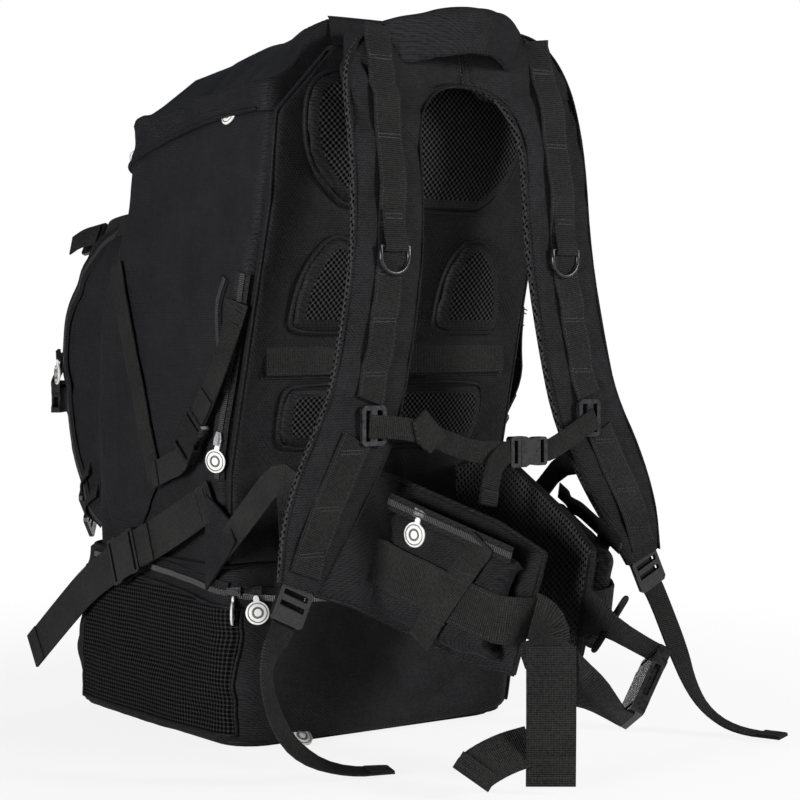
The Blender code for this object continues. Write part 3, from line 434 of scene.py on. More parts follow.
def swept(name, route, facings, halves, depth, section=WEB, finish=WEBBING):
    """A closed band of one thickness, with lengths along and across it as its UV."""
    sides = [t.cross(f).normalized() * half for t, f, half in zip(tangents(route), facings, halves)]
    return skinned(name, route, sides, [depth] * len(route), section, finish)


def ribbon(name, route, facing, width, thick, section=WEB, finish=WEBBING):
    """A band of one width that faces one way."""
    count = len(route)
    return swept(name, route, [Vector(facing)] * count, [width / 2] * count, thick / 2, section, finish)


def webbing(name, points, facings, width, thick=1.8 * MM, rounds=2):
    route = cut_corners([Vector(p) for p in points], rounds)
    turned = cut_corners([Vector(f) for f in facings], rounds)
    return swept(name, route, turned, [width / 2] * len(route), thick / 2)


def pipe(name, points, radius, finish=PIPING, sides=8, ring=False):
    """A round cord of cloth, such as piping, along a line."""
    points = [Vector(p) for p in points]
    count = len(points)
    rows, uv, far = [], [], 0.0
    side = None
    for i, point in enumerate(points):
        before = points[i - 1] if ring or i else points[i]
        after = points[(i + 1) % count] if ring or i < count - 1 else points[i]
        run = (after - before).normalized()
        side = run.orthogonal() if side is None else side - run * side.dot(run)
        side.normalize()
        third = run.cross(side)
        far += (point - points[i - 1]).length if i else 0.0
        rows.append([point + (side * math.cos(a) + third * math.sin(a)) * radius for a in circle(sides)])
        uv += [(far, radius * k) for k in range(sides)]
    faces = strip(rows, closed=True, wrap=True) if ring else capped(rows)
    return make(name, flat(rows), faces, finish, uv)


def flap(name, corners, facing, thick, finish=WEBBING):
    """A flat flap of cloth or folded webbing, from its corners."""
    facing = Vector(facing).normalized()
    rows = [[Vector(c) + facing * lift * thick for c in corners] for lift in (-0.5, 0.5)]
    run = (rows[0][1] - rows[0][0]).normalized()
    uv = [(q.dot(run), q.dot(run.cross(facing))) for q in flat(rows)]
    return make(name, flat(rows), capped(rows), finish, uv, 30)


STITCH_TAPER, STITCH_TIP = 0.12, 0.35


def stitches(name, lines, pitch=3.6 * MM, share=0.62, radius=0.45 * MM):
    """Rows of short thread stitches along lines that lie on a surface."""
    stations = ((0.0, STITCH_TIP), (STITCH_TAPER, 1.0), (share - STITCH_TAPER, 1.0), (share, STITCH_TIP))
    points, faces = [], []
    for thread in lines:
        route = evenly(thread, pitch)
        for a, b in zip(route, route[1:]):
            run = (b - a).normalized()
            side = run.orthogonal().normalized()
            third = run.cross(side)
            start = len(points)
            rows = [[a.lerp(b, at) + (side * math.cos(turn) + third * math.sin(turn)) * radius * size
                     for turn in circle(4)] for at, size in stations]
            points += flat(rows)
            faces += [[start + i for i in face] for face in capped(rows)]
    return make(name, points, faces, THREAD)


def tacked(lines, radius=0.7 * MM):
    """Short rows of dense, heavy stitches."""
    return stitches("tacks", lines, 2 * MM, 0.8, radius)


def rumple(obj, field):
    """Moves each point along its normal by field(point, normal)."""
    mesh = obj.data
    moves = [field(v.co, v.normal) for v in mesh.vertices]
    normals = [v.normal.copy() for v in mesh.vertices]
    for v, normal, move in zip(mesh.vertices, normals, moves):
        v.co += normal * move
    mesh.update()
    return obj


def creases(p, *folds):
    """Long soft folds of ridged noise. Each has a seed, its scales in x, y and z, and a depth in mm."""
    total = 0.0
    for seed, sx, sy, sz, depth in folds:
        value = noise.noise(Vector((p.x * sx + seed, p.y * sy - seed, p.z * sz + 2 * seed)))
        total += (1 - min(1.0, abs(value) * 2.2)) ** 2 * depth * MM
    return total


def ripple(p, scale, depth):
    """Small uneven waves, with a depth in mm."""
    return noise.noise(p * scale) * depth * MM


def soften(share):
    share = min(1.0, max(0.0, share))
    return share * share * (3 - 2 * share)


def near(p, a, b, reach):
    """1 on the line from a to b, falling to 0 at reach."""
    a, b = Vector(a), Vector(b)
    run = b - a
    t = min(1.0, max(0.0, (p - a).dot(run) / run.length_squared))
    return soften(1 - (p - a - run * t).length / reach)


PRESSURE, PUFF_FRAMES = 4.0, 20


def blow_up(obj, cap, pins):
    """Blows a closed mesh up as cloth while pins hold its seams, no point further than a cap."""
    rest = [v.co.copy() for v in obj.data.vertices]
    cloth = obj.modifiers.new("cloth", "CLOTH")
    settings = cloth.settings
    settings.quality = 4
    settings.use_pressure = True
    settings.uniform_pressure_force = PRESSURE
    settings.effector_weights.gravity = 0
    cloth.collision_settings.use_collision = False
    if pins:
        group = obj.vertex_groups.new(name="seam")
        group.add([v.index for v in obj.data.vertices if pins(v.co)], 1.0, "REPLACE")
        settings.vertex_group_mass = "seam"
    cloth.point_cache.frame_start = 1
    cloth.point_cache.frame_end = PUFF_FRAMES
    for step in range(1, PUFF_FRAMES + 1):
        SCENE.frame_set(step)
    baked(obj)
    SCENE.frame_set(1)
    for v, home in zip(obj.data.vertices, rest):
        move = v.co - home
        if move.length > cap:
            v.co = home + move.normalized() * cap
    obj.vertex_groups.clear()


def puffed(name, source, finish, voxel=5 * MM, cap=5 * MM, pins=None, shrink=0.0):
    """A stuffed copy of a mesh: remeshed, blown up and smoothed."""
    obj = shown(name, source.copy())
    if shrink:
        rumple(obj, lambda p, n: -shrink)
    remesh = obj.modifiers.new("remesh", "REMESH")
    remesh.mode = "VOXEL"
    remesh.voxel_size = voxel
    baked(obj)
    blow_up(obj, cap, pins)
    smooth = obj.modifiers.new("smooth", "SMOOTH")
    smooth.iterations = 4
    smooth.factor = 0.5
    finer(obj)
    obj.data.materials.clear()
    obj.data.materials.append(finish)
    obj.data.shade_smooth()
    return obj


def paint(obj, finish, test):
    """Gives the faces that pass a test a second material."""
    obj.data.materials.append(finish)
    index = len(obj.data.materials) - 1
    for poly in obj.data.polygons:
        if test(poly.center, poly.normal):
            poly.material_index = index


# The pack's lines, as (height, value) in millimetres

def line(*stations):
    return [(height * MM, value * MM) for height, value in stations]


def along(profile, at):
    for (low, first), (high, second) in zip(profile, profile[1:]):
        if at <= high:
            return first + (second - first) * max(0.0, (at - low) / (high - low))
    return profile[-1][1]


GAP = 0.3 * MM
PANEL = 12 * MM
PANEL_LOW, PANEL_TOP = 172 * MM, 646 * MM
SPLIT = 168 * MM
HEM_BACK, HEM_FRONT, HEM_LIFT = 585 * MM, 541 * MM, 12 * MM
MAIN_TABLE_TOP = 604 * MM
BAG_WALL = 3 * MM
LID_TOP_BACK, LID_TOP_FRONT = 673 * MM, 632 * MM
LID_RIM, LID_FRONT_RIM = 30 * MM, 16 * MM
LID_FLAT_HALF = 88 * MM
LID_FRONT_FALL = 60 * MM
LID_OVERHANG = 2.5 * MM
BACK_CORNER, FRONT_CORNER, POCKET_CORNER = 12 * MM, 42 * MM, 48 * MM
LOWER_CORNER = 34 * MM
POCKET_TOP = 520 * MM
BACK_LINE = line((0, -140), (60, -146), (130, -136), (160, -125), (255, -125), (376, -155),
                 (500, -187), (583, -196), (646, -200))
SIDE_LINE = line((0, 166), (60, 171), (130, 171), (168, 165), (300, 168), (420, 166), (500, 162),
                 (583, 157), (646, 154))
MAIN_FRONT_LINE = line((168, 148), (300, 150), (400, 140), (460, 115), (500, 97), (560, 90))
LOWER_FRONT_LINE = line((0, 182), (60, 190), (130, 182), (168, 170))
POCKET_FRONT_LINE = line((168, 194), (200, 226), (252, 260), (300, 278), (355, 286), (400, 272),
                         (440, 252), (475, 230), (500, 204), (520, 160))
POCKET_SIDE_LINE = line((168, 132), (200, 142), (400, 142), (440, 140), (475, 134), (500, 122), (520, 96))
PANEL_SIDE_LINE = line((172, 160), (583, 154), (646, 96))
HARNESS_LINE = line((163, -292), (300, -287), (455, -283), (502, -281), (547, -277), (594, -266), (640, -254))
STRAP_ROUTE = [(98, 630), (95, 594), (96, 547), (98, 455), (116, 367), (126, 313), (154, 258),
               (180, 210), (198, 172)]
LEG_ROUTE = [(95, 594), (96, 547), (98, 455), (115, 367), (129, 313), (160, 258), (185, 210), (199, 170)]


def main_back(z):
    return along(BACK_LINE, z) + PANEL + GAP


LID_BACK, LID_FRONT = main_back(HEM_BACK), along(MAIN_FRONT_LINE, HEM_FRONT)
LID_HALF = along(SIDE_LINE, HEM_BACK)


def hem(y):
    """The lid's lower edge: it falls to the front and lifts a little on the way."""
    share = (y - LID_BACK) / (LID_FRONT - LID_BACK)
    return HEM_BACK + (HEM_FRONT - HEM_BACK) * share + HEM_LIFT * 4 * share * max(0.0, 1 - share)


def lid_rim(y):
    """The edge between the lid's wall and its top, highest at the front."""
    return hem(y) + LID_RIM + LID_FRONT_RIM * soften((y + 30 * MM) / (90 * MM))


def ring(half, back, front, back_corner, front_corner, count):
    """A rounded rectangle from above, as evenly spread points from the middle of the back."""
    points = [Vector((0, back, 0))]
    corners = ((1, back + back_corner, back_corner, 270), (1, front - front_corner, front_corner, 0),
               (-1, front - front_corner, front_corner, 90), (-1, back + back_corner, back_corner, 180))
    for sign, y, radius, start in corners:
        for turn in spread(start, start + 90, 90 / 8):
            a = math.radians(turn)
            x = sign * (half - radius) + radius * math.cos(a)
            points.append(Vector((x, y + radius * math.sin(a), 0)))
    points.append(Vector((0, back, 0)))
    total = sum((b - a).length for a, b in zip(points, points[1:]))
    return evenly(points, total / count)[:-1][:count]


def at_height(loop, z):
    return [Vector((p.x, p.y, z)) for p in loop]


def tube(rings_at, levels, count):
    """Rows of rings at several heights; each ring has as many points."""
    return [at_height(rings_at(z, count), z) for z in levels]


# Bags

BAG_POINTS, POCKET_POINTS, LID_POINTS, BASE_POINTS = 190, 150, 170, 120
MAIN_ROWS = 84
SEAM_STRAPS = [((-0.166, -0.133, 0.376), (-0.172, -0.06, 0.262)),
               ((-0.166, -0.104, 0.232), (-0.172, 0.09, 0.15))]
SEAM_REACH = 60 * MM


def main_loop(z, count):
    front = along(MAIN_FRONT_LINE, z)
    return ring(along(SIDE_LINE, z), main_back(z), front, BACK_CORNER, FRONT_CORNER, count)


def side_folds(p):
    """Folds and dents of the stuffed bag, deepest where the straps draw it in."""
    mirrored = Vector((-abs(p.x), p.y, p.z))
    drawn = max(near(mirrored, a, b, SEAM_REACH) for a, b in SEAM_STRAPS)
    deep = creases(p, (3.1, 9, 7, 11, 3.2), (8.7, 22, 14, 26, 1.3))
    return -deep * (0.35 + 0.65 * drawn) + ripple(p, 60, 0.5) - 1.2 * MM * drawn


def build_main_bag():
    floor = SPLIT + GAP
    levels = spread(floor, MAIN_TABLE_TOP, 4 * MM)
    loops = [main_loop(z, BAG_POINTS) for z in levels]

    def at(i, z):
        k = min(max((z - floor) / (levels[1] - levels[0]), 0.0), len(loops) - 1.001)
        low = int(k)
        return loops[low][i].lerp(loops[low + 1][i], k - low)

    rows = []
    for share in spread(0, 1, 1 / MAIN_ROWS):
        row = []
        for i in range(BAG_POINTS):
            guess = at(i, floor + (HEM_FRONT - floor) * share)
            z = floor + (hem(guess.y) - floor) * share
            point = at(i, z)
            row.append(Vector((point.x, point.y, z)))
        rows.append(row)
    rows = [[Vector((p.x * share, p.y * share, floor)) for p in rows[0]] for share in (0.2, 0.6)] + rows
    bag = make("bag_main", flat(rows), capped(rows, last=False), FABRIC)
    rumple(bag, lambda p, n: side_folds(p) * soften((hem(p.y) - p.z) / (30 * MM)) if abs(n.z) < 0.6 else 0)
    seat(walled(bag, BAG_WALL, LINING), "pack", "main_bag")


def lower_loop(z, count, inset=0.0):
    return ring(along(SIDE_LINE, z) - inset, along(BACK_LINE, z) + inset, along(LOWER_FRONT_LINE, z) - inset,
                LOWER_CORNER, FRONT_CORNER, count)


# Rounded edges of the lower bag, as inset and height in millimetres
BASE_TOP = 3.8 * MM
LOWER_FOOT = ((60, 0.2), (14, 0), (9, 0.3), (5, 1.5), (2, 3.5), (0.6, 6))
LOWER_SHOULDER = ((0.8, 165), (3, 167.2), (9, 168), (60, 168))
BASE_EDGE = ((60, 0), (10.5, 0), (9.3, 0.6), (9, 2), (9.4, 3.2), (12, 3.5), (60, 3.5))
LOWER_SAG, LOWER_HALF = 9 * MM, 170 * MM


def lower_folds(p, n):
    """Folds of the lower bag, and the bulge of its walls near the floor."""
    if abs(n.z) > 0.7:
        return 0
    deep = creases(p, (5.3, 8, 8, 14, 3.6), (1.9, 18, 18, 30, 1.5))
    deep *= soften((p.z - 8 * MM) / (20 * MM)) * soften((165 * MM - p.z) / (15 * MM))
    middle = (1 - (p.x / LOWER_HALF) ** 2) * abs(n.y) + (1 - ((p.y - 20 * MM) / LOWER_HALF) ** 2) * abs(n.x)
    low = soften((p.z - 2 * MM) / (8 * MM)) * soften((110 * MM - p.z) / (80 * MM))
    return LOWER_SAG * max(0.0, middle) * low - deep + ripple(p, 55, 0.5)


def build_lower_bag():
    rows = [at_height(lower_loop(0, BAG_POINTS, inset * MM), BASE_TOP + z * MM) for inset, z in LOWER_FOOT]
    rows += tube(lower_loop, spread(13 * MM, 162 * MM, 5 * MM), BAG_POINTS)
    rows += [at_height(lower_loop(160 * MM, BAG_POINTS, inset * MM), z * MM) for inset, z in LOWER_SHOULDER]
    bag = make("bag_lower", flat(rows), capped(rows), FABRIC)
    seat(rumple(bag, lower_folds), "pack", "lower_bag")
    rows = [at_height(lower_loop(0, BASE_POINTS, inset * MM), z * MM) for inset, z in BASE_EDGE]
    seat(make("base_cloth", flat(rows), capped(rows), FABRIC), "pack", "base_panel")
    edge = at_height(lower_loop(0, 150, 3.2 * MM), 5.5 * MM)
    seat(pipe("base_piping", edge, 2.0 * MM, ring=True), "pack")
    split = ring(166.5 * MM, main_back(SPLIT) - 2 * MM, 158 * MM, BACK_CORNER, FRONT_CORNER, 170)
    seat(pipe("split_piping", at_height(split, SPLIT + 0.5 * MM), 2.2 * MM, ring=True), "pack")


def pocket_loop(z, count):
    back = along(MAIN_FRONT_LINE, z) + GAP
    front = along(POCKET_FRONT_LINE, z)
    corner = min(POCKET_CORNER, 0.8 * (front - back))
    return ring(along(POCKET_SIDE_LINE, z), back, front, 4 * MM, corner, count)


# Rounded edges of the front pocket, as a share of its loop and a distance from its end in millimetres
POCKET_FOOT = ((0.4, 0), (0.75, 0.6), (0.93, 2), (0.985, 5))
POCKET_CREST = ((0.94, 3), (0.8, 0.8), (0.4, 0))
POCKET_MIDDLE = 100 * MM
POCKET_SEAM = 326 * MM


def pocket_folds(p, n):
    if n.y < -0.6 or p.y < along(MAIN_FRONT_LINE, p.z) + 8 * MM:
        return 0
    seam = math.exp(-((p.z - POCKET_SEAM) / (5 * MM)) ** 2) * 2.2 * MM
    return -creases(p, (2.2, 10, 9, 12, 3.5), (6.4, 24, 20, 28, 1.4)) - seam + ripple(p, 55, 0.5)


def build_front_pocket():
    low = SPLIT + GAP
    foot = pocket_loop(low, POCKET_POINTS)
    rows = []
    for share, rise in POCKET_FOOT:
        z = low + rise * MM
        back = along(MAIN_FRONT_LINE, z)
        rows.append([Vector((p.x * share, back + (p.y - back) * share, z)) for p in foot])
    rows += tube(pocket_loop, spread(low + 9 * MM, POCKET_TOP - 6 * MM, 5.5 * MM), POCKET_POINTS)
    last = rows[-1]
    for share, drop in POCKET_CREST:
        z = POCKET_TOP - drop * MM
        rows.append([Vector((p.x * share, POCKET_MIDDLE + (p.y - POCKET_MIDDLE) * share, z)) for p in last])
    bag = make("bag_pocket", flat(rows), capped(rows), FABRIC)
    seat(rumple(bag, pocket_folds), "pack", "front_pocket")


LID_WALL_SHARES = (0, 0.06, 0.14, 0.25, 0.4, 0.55, 0.7, 0.85, 1.0)
LID_TOP_INSETS = (4, 7, 11, 17, 24, 32, 42, 54, 68, 84, 104, 126)


def lid_top(x, y):
    crest = LID_TOP_BACK + (LID_TOP_FRONT - LID_TOP_BACK) * (y - LID_BACK) / (LID_FRONT - LID_BACK)
    rim = lid_rim(y)
    side = 1 - soften((abs(x) - LID_FLAT_HALF) / (LID_HALF - LID_FLAT_HALF))
    ahead = 1 - 0.4 * soften((y - LID_FRONT + LID_FRONT_FALL) / LID_FRONT_FALL)
    return rim + (crest - rim) * side * ahead


def lid_folds(p, n):
    deep = creases(p, (4.4, 10, 13, 10, 3.6), (9.9, 26, 20, 24, 1.5))
    return (ripple(p, 50, 0.6) - deep) * soften((p.z - hem(p.y) - 8 * MM) / (14 * MM))


def build_lid():
    back = LID_BACK + GAP

    def outline(inset, back_inset):
        front_corner = max(FRONT_CORNER - inset, 14 * MM)
        return ring(LID_HALF + LID_OVERHANG - inset, back + back_inset, LID_FRONT + LID_OVERHANG - inset,
                    BACK_CORNER, front_corner, LID_POINTS)

    def wall_top(p):
        low = lid_rim(p.y)
        return low + (lid_top(p.x, back) - low) * (1 - soften((p.y - back) / (30 * MM))) - 2 * MM

    edge = outline(0, 0)
    rows = []
    for share in LID_WALL_SHARES:
        feet = [hem(p.y) + GAP for p in edge]
        rows.append([Vector((p.x, p.y, z + (wall_top(p) - z) * share)) for p, z in zip(edge, feet)])
    for inset in LID_TOP_INSETS:
        rows.append([Vector((p.x, p.y, lid_top(p.x, p.y))) for p in outline(inset * MM, inset * MM * 0.6)])
    lid = make("lid_cloth", flat(rows), capped(rows, first=False), FABRIC)
    seat(walled(rumple(lid, lid_folds), BAG_WALL, LINING), "lid", "lid")
    low = [Vector((p.x * 1.006, p.y + 0.4 * MM, hem(p.y) + 2.2 * MM)) for p in edge if p.y > back + 8 * MM]
    seat(pipe("lid_hem", low, 2.0 * MM), "lid")
    seat(stitches("lid_hem_stitches", [[p + UP * 9.5 * MM for p in low]]), "lid")


# Laying pieces on one another

TREES = {}
DRAPE_REACH = 80 * MM


def drape(points, target, direction, lift):
    """Points set down on a target's skin, seen against a direction, and lifted off it."""
    if target.name not in TREES:
        TREES[target.name] = BVHTree.FromPolygons([v.co for v in target.data.vertices],
                                                  [p.vertices for p in target.data.polygons])
    direction = Vector(direction).normalized()
    made = []
    for point in points:
        start = Vector(point) + direction * DRAPE_REACH
        hit = TREES[target.name].ray_cast(start, -direction, 2 * DRAPE_REACH)[0]
        made.append((hit or Vector(point)) + direction * lift)
    return made


def cad_mesh(name):
    """A CAD node's mesh at rest, in world coordinates."""
    mesh = NODES[name].data.copy()
    mesh.transform(NODES[name].matrix_world)
    return mesh


def placing(origin, axis, face):
    axis = Vector(axis).normalized()
    width = Vector(face).cross(axis).normalized()
    turn = Matrix((axis, width, axis.cross(width))).transposed().to_4x4()
    return Matrix.Translation(Vector(origin)) @ turn


def copy_of(name, source, old, new, finish):
    """A copy of a CAD piece, taken from its old placing to a new one."""
    mesh = cad_mesh(source)
    mesh.transform(new @ old.inverted())
    mesh.materials.clear()
    mesh.materials.append(finish)
    return shown(name, mesh)


def band_on(name, points, facing, width, target, finish=WEBBING, thick=1.6 * MM, lift=0.9 * MM):
    """Webbing or tape laid on a target's skin."""
    route = drape(curve(points), target, facing, lift)
    for _ in range(2):
        inner = [(a + b * 2 + c) / 4 for a, b, c in zip(route, route[1:], route[2:])]
        route = [route[0]] + inner + [route[-1]]
    return ribbon(name, route, facing, width, thick, WEB, finish)


def edge_lines(points, facing, width, lift):
    """Two lines near the edges of a band, just above its face."""
    route = [Vector(p) for p in points]
    facing = Vector(facing).normalized()
    lines = [[], []]
    for point, run in zip(route, tangents(route)):
        across = run.cross(facing).normalized()
        for edge, sign in zip(lines, (-1, 1)):
            edge.append(point + across * sign * width / 2 + facing * lift)
    return lines


def zipped(name, points, facing, target, body, tape=20 * MM):
    """A zip on a target's skin: its tape and its closed coil."""
    cloth = band_on(name + "_tape", points, facing, tape, target, PIPING, 0.9 * MM, 0.7 * MM)
    coil = band_on(name + "_coil", points, facing, 5.4 * MM, target, COIL, 1.8 * MM, 1.6 * MM)
    seat(joined(name, [cloth, coil]), body)


# Zip tags and pulls

TAG_THICKNESS = 2 * MM
TAG_CENTRE, TAG_RADIUS, TAG_EYE = 13.5 * MM, 11 * MM, 2.7 * MM
TAG_RINGS = ((8.9 * MM, 0.55 * MM), (4.6 * MM, 1.1 * MM))
SLIDER_REACH = 8.1 * MM
PULL_REACH, PULL_LIFT = 7 * MM, 2.6 * MM
ZIP_TURN = math.radians(25)
SIDE_ZIP_LOW, SIDE_ZIP_HIGH = 288 * MM, 405 * MM


def side_corner(sign, z, lift=0.0):
    """The side zip's line on the main bag's rounded back corner, and its outward face."""
    face = Vector((sign * math.cos(ZIP_TURN), -math.sin(ZIP_TURN), 0))
    centre = Vector((sign * (along(SIDE_LINE, z) - BACK_CORNER), main_back(z) + BACK_CORNER, z))
    return centre + face * (BACK_CORNER + lift), face


def side_zip_frame(sign):
    """Where the side zip's slider sits, the way it runs and the way it faces."""
    low, face = side_corner(sign, SIDE_ZIP_LOW)
    rise = (side_corner(sign, SIDE_ZIP_HIGH)[0] - low).normalized()
    face = (face - rise * face.dot(rise)).normalized()
    return low + face * 2 * GAP, rise, face


SIDE_SLIDER, SIDE_RISE, SIDE_FACE = side_zip_frame(-1)
SIDE_PIVOT = SIDE_SLIDER - SIDE_RISE * SLIDER_REACH + SIDE_FACE * TAG_THICKNESS / 2


def tag(name, pivot, hang, face):
    """A round rubber tag on a short neck, with a plain ring on both faces."""
    hang, face = Vector(hang).normalized(), Vector(face)
    face = (face - hang * face.dot(hang)).normalized()
    width = hang.cross(face)
    centre = Vector(pivot) + hang * TAG_CENTRE
    neck = math.asin(TAG_EYE / TAG_RADIUS)
    turns = spread(neck, math.tau - neck, (math.tau - 2 * neck) / 40)
    shape = [(-math.cos(a) * TAG_RADIUS, math.sin(a) * TAG_RADIUS) for a in turns]
    eye = spread(-QUARTER, QUARTER, QUARTER / 4)
    shape += [(-TAG_CENTRE - math.cos(a) * TAG_EYE, math.sin(a) * TAG_EYE) for a in eye]
    rows = []
    for share, lift in ((0.95, -1.0), (1.0, -0.55), (1.0, 0.55), (0.95, 1.0)):
        rise = face * lift * TAG_THICKNESS / 2
        rows.append([centre + (hang * u + width * v) * share + rise for u, v in shape])
    pieces = [make(name, flat(rows), capped(rows), WHITE, None, 40)]
    for side in (-1, 1):
        middle = centre + face * side * TAG_THICKNESS * 0.48
        for radius, thick in TAG_RINGS:
            points = [middle + (hang * math.cos(a) + width * math.sin(a)) * radius for a in circle(36)]
            pieces.append(pipe(name, points, thick, GREY, 6, True))
    return joined(name, pieces)


def pull(name, at, run, face, hang, body, turn=None):
    """A zip pull that only shows: a slider and its hanging tag, turned to face where it is told to."""
    at, run, face, hang = (Vector(v) for v in (at, run, face, hang))
    old = placing(SIDE_SLIDER, SIDE_RISE, SIDE_FACE)
    slider = copy_of(name, "side_zip_slider", old, placing(at, run, face), METAL)
    pivot = at + hang.normalized() * PULL_REACH + face.normalized() * PULL_LIFT
    seat(joined(name, [slider, tag(name, pivot, hang, turn or face)]), body)


# Back panel and its pads

PANEL_EDGE = ((0, PANEL), (0, 5 * MM), (1.5 * MM, 1.5 * MM))
PANEL_FACE_INSET = 5 * MM
BACK_BANDS = (("upper", 366, 140, 40, WEBBING), ("lower", 346, 142, 6, PIPING))
PAD_BINDING = 11 * MM
# A pad's foam, as a share of its outline and a rise in millimetres
PAD_SECTION = ((0.3, 0.3), (1.0, 0.3), (1.0, 5.5), (0.97, 8.5), (0.91, 10.2), (0.6, 11.2), (0.25, 11.6))
# Pads, as rows of height, left and right in millimetres
LOWER_PAD = [(386, 46, 120), (402, 44, 121), (430, 46, 117), (450, 52, 109), (464, 62, 99), (474, 74, 88)]
PAD_OUTLINES = {
    "back_pad_upper": [(500, -74, 74), (510, -92, 92), (534, -116, 116), (560, -126, 126), (588, -128, 128),
                       (606, -124, 124), (618, -113, 113), (624, -94, 94)],
    "back_pad_lower_left": [(z, -right, -left) for z, left, right in LOWER_PAD],
    "back_pad_lower_right": LOWER_PAD,
    "lumbar_pad": [(276, -108, 108), (286, -118, 118), (328, -118, 118), (338, -108, 108)],
}


def back_face(x, z):
    return Vector((x, along(BACK_LINE, z), z))


def pad_edge(rows):
    """A pad's outline on the panel, from its rows of height, left and right."""
    points = [back_face(right * MM, z * MM) for z, left, right in rows]
    points += [back_face(left * MM, z * MM) for z, left, right in reversed(rows)]
    return evenly(cut_corners(points + [points[0]], 2), 6 * MM)[:-1]


def pad_cushion(edge):
    """A pad's foam: steep sides and a flat, slightly domed face."""
    centre = sum(edge, Vector()) / len(edge)
    rows = []
    for share, rise in PAD_SECTION:
        spots = [centre.lerp(p, share) for p in edge]
        rows.append([back_face(at.x, at.z) + OUT * rise * MM for at in spots])
    shape = make("cushion", flat(rows), capped(rows), AIR_MESH)
    mesh = shape.data
    bpy.data.objects.remove(shape)
    return mesh


def on_back(p):
    """Where a pad is sewn to the panel."""
    return p.y > along(BACK_LINE, p.z) - 2.5 * MM


def on_binding(c, edge):
    """Whether a point is near a pad's edge, seen from behind."""
    return min((c.x - p.x) ** 2 + (c.z - p.z) ** 2 for p in edge) < PAD_BINDING ** 2


def panel_folds(p, n):
    return ripple(p, 60, 0.4) - creases(p, (7.7, 12, 10, 9, 2.2)) if n.y <= -0.7 else 0


def build_panel_cloth():
    rows = []
    for z in spread(PANEL_LOW, PANEL_TOP, 6 * MM):
        half = along(PANEL_SIDE_LINE, z)
        y = along(BACK_LINE, z)
        row = [Vector((half - inset, y + depth, z)) for inset, depth in PANEL_EDGE]
        row += [Vector(((half - PANEL_FACE_INSET) * (1 - k / 24), y, z)) for k in range(49)]
        row += [Vector((inset - half, y + depth, z)) for inset, depth in reversed(PANEL_EDGE)]
        row += [Vector((half * share, y + PANEL, z)) for share in (-0.5, 0.5)]
        rows.append(row)
    panel = make("back_cloth", flat(rows), capped(rows), FABRIC)
    return seat(rumple(panel, panel_folds), "pack", "back_panel")


def build_back_panel():
    panel = build_panel_cloth()
    for side, sign in SIDES:
        edge = []
        for z in spread(174 * MM, 640 * MM, 8 * MM):
            half = along(PANEL_SIDE_LINE, z) + 1 * MM
            edge.append(back_face(sign * half, z) - OUT * 3.5 * MM)
        seat(pipe("back_piping_" + side, edge, 1.7 * MM), "pack")
    for name, z, half, width, finish in BACK_BANDS:
        route = [back_face(x, z * MM) for x in spread(-half * MM, half * MM, 20 * MM)]
        cross = band_on("back_band_" + name, route, OUT, width * MM, panel, finish)
        lines = edge_lines(drape(curve(route), panel, OUT, 2.2 * MM), OUT, (width - 4) * MM, 0)
        seat(joined("back_band_" + name, [cross, stitches("thread", lines)]), "pack")
    for name in ("back_pad_upper", "back_pad_lower_left", "back_pad_lower_right", "lumbar_pad"):
        edge = pad_edge(PAD_OUTLINES[name])
        pad = puffed(name + "_mesh", pad_cushion(edge), AIR_MESH, 4.5 * MM, pins=on_back)
        paint(pad, PIPING, lambda c, n: on_binding(c, edge))
        seat(pad, "pack", name)
        seat(pipe(name + "_binding", [p + OUT * 2.5 * MM for p in edge], 2.6 * MM, ring=True), "pack")


# Harness

ARCH_INNER = [(0, 608), (17, 607), (32, 602), (44, 593), (52, 581), (57, 567), (59.5, 551)]
ARCH_OUTER = [(0, 665), (34, 665), (66, 664), (92, 659), (112, 646), (125, 625), (131, 598)]
STRAP_LINE = [(91, 658), (94, 634)] + LEG_ROUTE
STRAP_HALVES = line((160, 19), (172, 21), (210, 31), (258, 38), (400, 38), (500, 36.5), (600, 36.5))
STRAP_DEPTHS = line((160, 4.5), (210, 7.0), (594, 7.8), (660, 7.0))
STRAP_TACKS, LOW_TACKS = (630, 556, 478, 436, 398, 350, 282), (236, 196)
STRAP_SLACK = 0.045
ARCH_SEAM = (611, 630, 648, 662)
FOLD_TOP, FOLD_LOW = (0, -0.26, 0.650), (0, -0.26, 0.598)
STRAP_WEB = 25 * MM


def harness_point(x, z):
    return Vector((x * MM, along(HARNESS_LINE, z * MM), z * MM))


def on_strap(sign, low, high):
    """The middle line of a strap's face from one height up to another, top first."""
    points = curve([harness_point(sign * x, z) for x, z in STRAP_LINE], rounds=2)
    return [p + OUT * along(STRAP_DEPTHS, p.z) for p in points if low <= p.z <= high]


def harness_folds(p, n):
    """Creases of the padding, closest together round the arch."""
    if n.y >= -0.5:
        return 0
    arch = soften((p.z - 520 * MM) / (60 * MM))
    arch_folds = creases(p, (5.1, 26, 20, 30, 4.2)) * arch
    return ripple(p, 80, 0.25) - creases(p, (1.3, 14, 10, 18, 1.8)) - arch_folds


def strap_edges():
    """The inner and outer edge of the right half, from the arch's middle to the strap's end."""
    inner = [harness_point(x, z) for x, z in ARCH_INNER]
    outer = [harness_point(x, z) for x, z in ARCH_OUTER]
    leg = [harness_point(x, z) for x, z in LEG_ROUTE[1:]]
    for point, run in zip(leg, tangents([harness_point(*LEG_ROUTE[0])] + leg)[1:]):
        across = run.cross(OUT).normalized()
        across = across if across.x > 0 else -across
        half = along(STRAP_HALVES, point.z)
        inner.append(point - across * half)
        outer.append(point + across * half)
    return inner, outer


